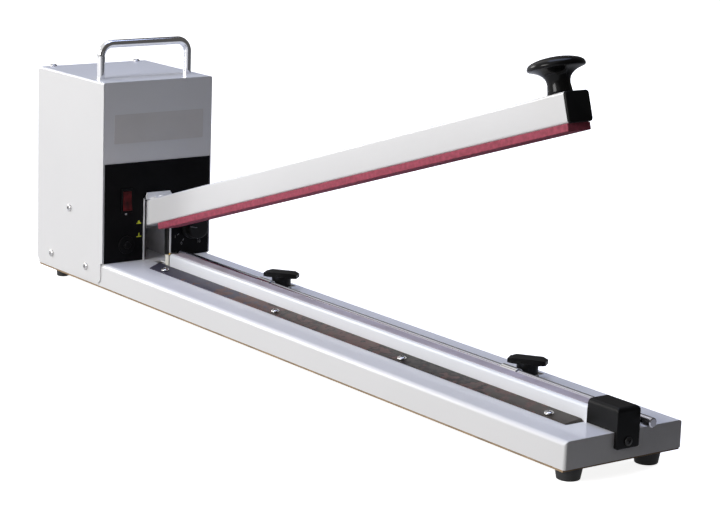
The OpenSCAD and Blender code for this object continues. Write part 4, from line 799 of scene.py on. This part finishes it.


# Ramp. A strip of polished steel that the bag slides up, held down by four cross-head screws.
# Its colour is painted reflection: dark, blue-grey, brown and olive stretches along it stand
# in for the dark room and the rose pad mirrored in the steel.
polished = finish("polished_ramp_steel", (0.16, 0.13, 0.12), 0.42, metal=0.10, tone=0.20,
                  tone_size=10, grain=0.04, grain_size=900, stretch=(0.3, 1, 1),
                  rough_spread=0.05, specular=0.10)
tree = polished.node_tree
where = tree.nodes.new("ShaderNodeTexCoord")
along = tree.nodes.new("ShaderNodeSeparateXYZ")
ripple = tree.nodes.new("ShaderNodeTexNoise")
ripple.inputs["Scale"].default_value = 95
ripple.inputs["Detail"].default_value = 6
tree.links.new(where.outputs["Object"], along.inputs[0])
tree.links.new(where.outputs["Object"], ripple.inputs["Vector"])
ramp_low, ramp_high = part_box("bag_ramp")
ripple_share, ripple_middle = 0.75, 0.37
share_along = fading(tree, along.outputs["X"], start=ramp_low.x, stop=ramp_high.x,
                     first=-ripple_middle, last=1 - ripple_middle, course="LINEAR")
shifted = math_node(tree, "MULTIPLY_ADD", ripple.outputs["Fac"], ripple_share, share_along)
# Painted reflection: stretches of colour along the ramp, their edges wobbled by noise.
reflection_tints = tree.nodes.new("ShaderNodeValToRGB")
blue_grey, brown = (0.060, 0.056, 0.078), (0.115, 0.060, 0.050)
olive, dark = (0.062, 0.052, 0.042), (0.014, 0.013, 0.013)
painted_reflections = ((0.0, blue_grey), (0.235, blue_grey), (0.25, brown), (0.36, brown), (0.385, dark),
             (0.42, olive), (0.53, brown), (0.57, brown), (0.60, dark), (0.66, olive),
             (0.76, dark), (0.83, brown), (0.90, olive))
for i, (share, colour) in enumerate(painted_reflections):
    stop = reflection_tints.color_ramp.elements[i] if i < 2 else reflection_tints.color_ramp.elements.new(share)
    stop.position = share
    stop.color = (*colour, 1)
tree.links.new(shifted, reflection_tints.inputs["Fac"])
tree.links.new(reflection_tints.outputs["Color"], tree.nodes["Principled BSDF"].inputs["Base Color"])
dress("bag_ramp", polished, "base", edge=0.0002, steps=2)
low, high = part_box("ramp_screws")
screw_r = (high.y - low.y) / 2
screw_step = (high.x - low.x - 2 * screw_r) / 3
ramp_head_d, ramp_head_h, ramp_lean = 0.008, 0.0026, -0.06
places = [facing((low.x + screw_r + i * screw_step, low.y + screw_r, high.z - ramp_head_h),
                 (0, ramp_lean, 1), turn=0.4 + i) for i in range(4)]
heads = copies("ramp_screw_heads", screw_head("ramp_screw", ramp_head_d, ramp_head_h), places)
settle(heads, plated, "ramp_screws", "base")


# Clamp rod and straps. A plain steel rod holds the release sheet down. Two bent chrome straps
# press on it, each drawn down by a black wing knob on a stud.
rod_steel = finish("bright_rod_steel", (0.66, 0.66, 0.72), 0.20, metal=1.0, tone=0.05, tone_size=30,
                   stretch=(0.1, 1, 1), rough_spread=0.05)
dress("clamp_rod", rod_steel, "rod")
dress("rod_strap_1", chrome, "strap_1", edge=0.0003, steps=3)
dress("rod_strap_2", chrome, "strap_2", edge=0.0003, steps=3)
dress("clamp_studs", plated, "base", edge=0.0003, steps=2)
dress("clamp_spacers", nylon, "base", edge=0.0004, steps=2)
dress("clamp_knob_1", black_plastic, "knob_1", edge=0.0011, steps=4)
dress("clamp_knob_2", black_plastic, "knob_2", edge=0.0011, steps=4)


# Inside the housing. A core of stacked steel sheets and its varnished coil stand on a zinc-plated
# shelf, near the timer board, the seal switch, the leads and the return spring. Plated screws
# hold the feet, handle, bracket and bar, and the black cable gland goes through the rear panel.
def keep(node, material):
    """Gives a solid of the frame its material and leaves its shape as it is."""
    for slot in nodes[node].material_slots:
        slot.material = material


core_steel = finish("stacked_core_steel", (0.12, 0.12, 0.13), 0.5, metal=0.6, tone=0.3,
                    tone_size=900, stretch=(1, 0.01, 0.01))
winding = finish("varnished_winding", (0.42, 0.20, 0.05), 0.35, tone=0.25, tone_size=500,
                 stretch=(0.02, 0.02, 1), coat=0.3)
keep("transformer_core", core_steel)
keep("transformer_coil", winding)
keep("transformer_shelf", zinc)
keep("timer_board", finish("circuit_board", (0.03, 0.16, 0.06), 0.4, tone=0.3, tone_size=260))
keep("microswitch", satin_black)
keep("wiring", finish("wire_sleeve", (0.05, 0.05, 0.055), 0.5, tone=0.1))
keep("return_spring", spring_steel)
keep("spring_anchor", zinc)
for node in ("foot_screws", "handle_screws", "bracket_screws", "bar_screws"):
    keep(node, plated)
dress("cable_gland", satin_black, "base", edge=0.0005, steps=3)

bpy.context.view_layer.update()
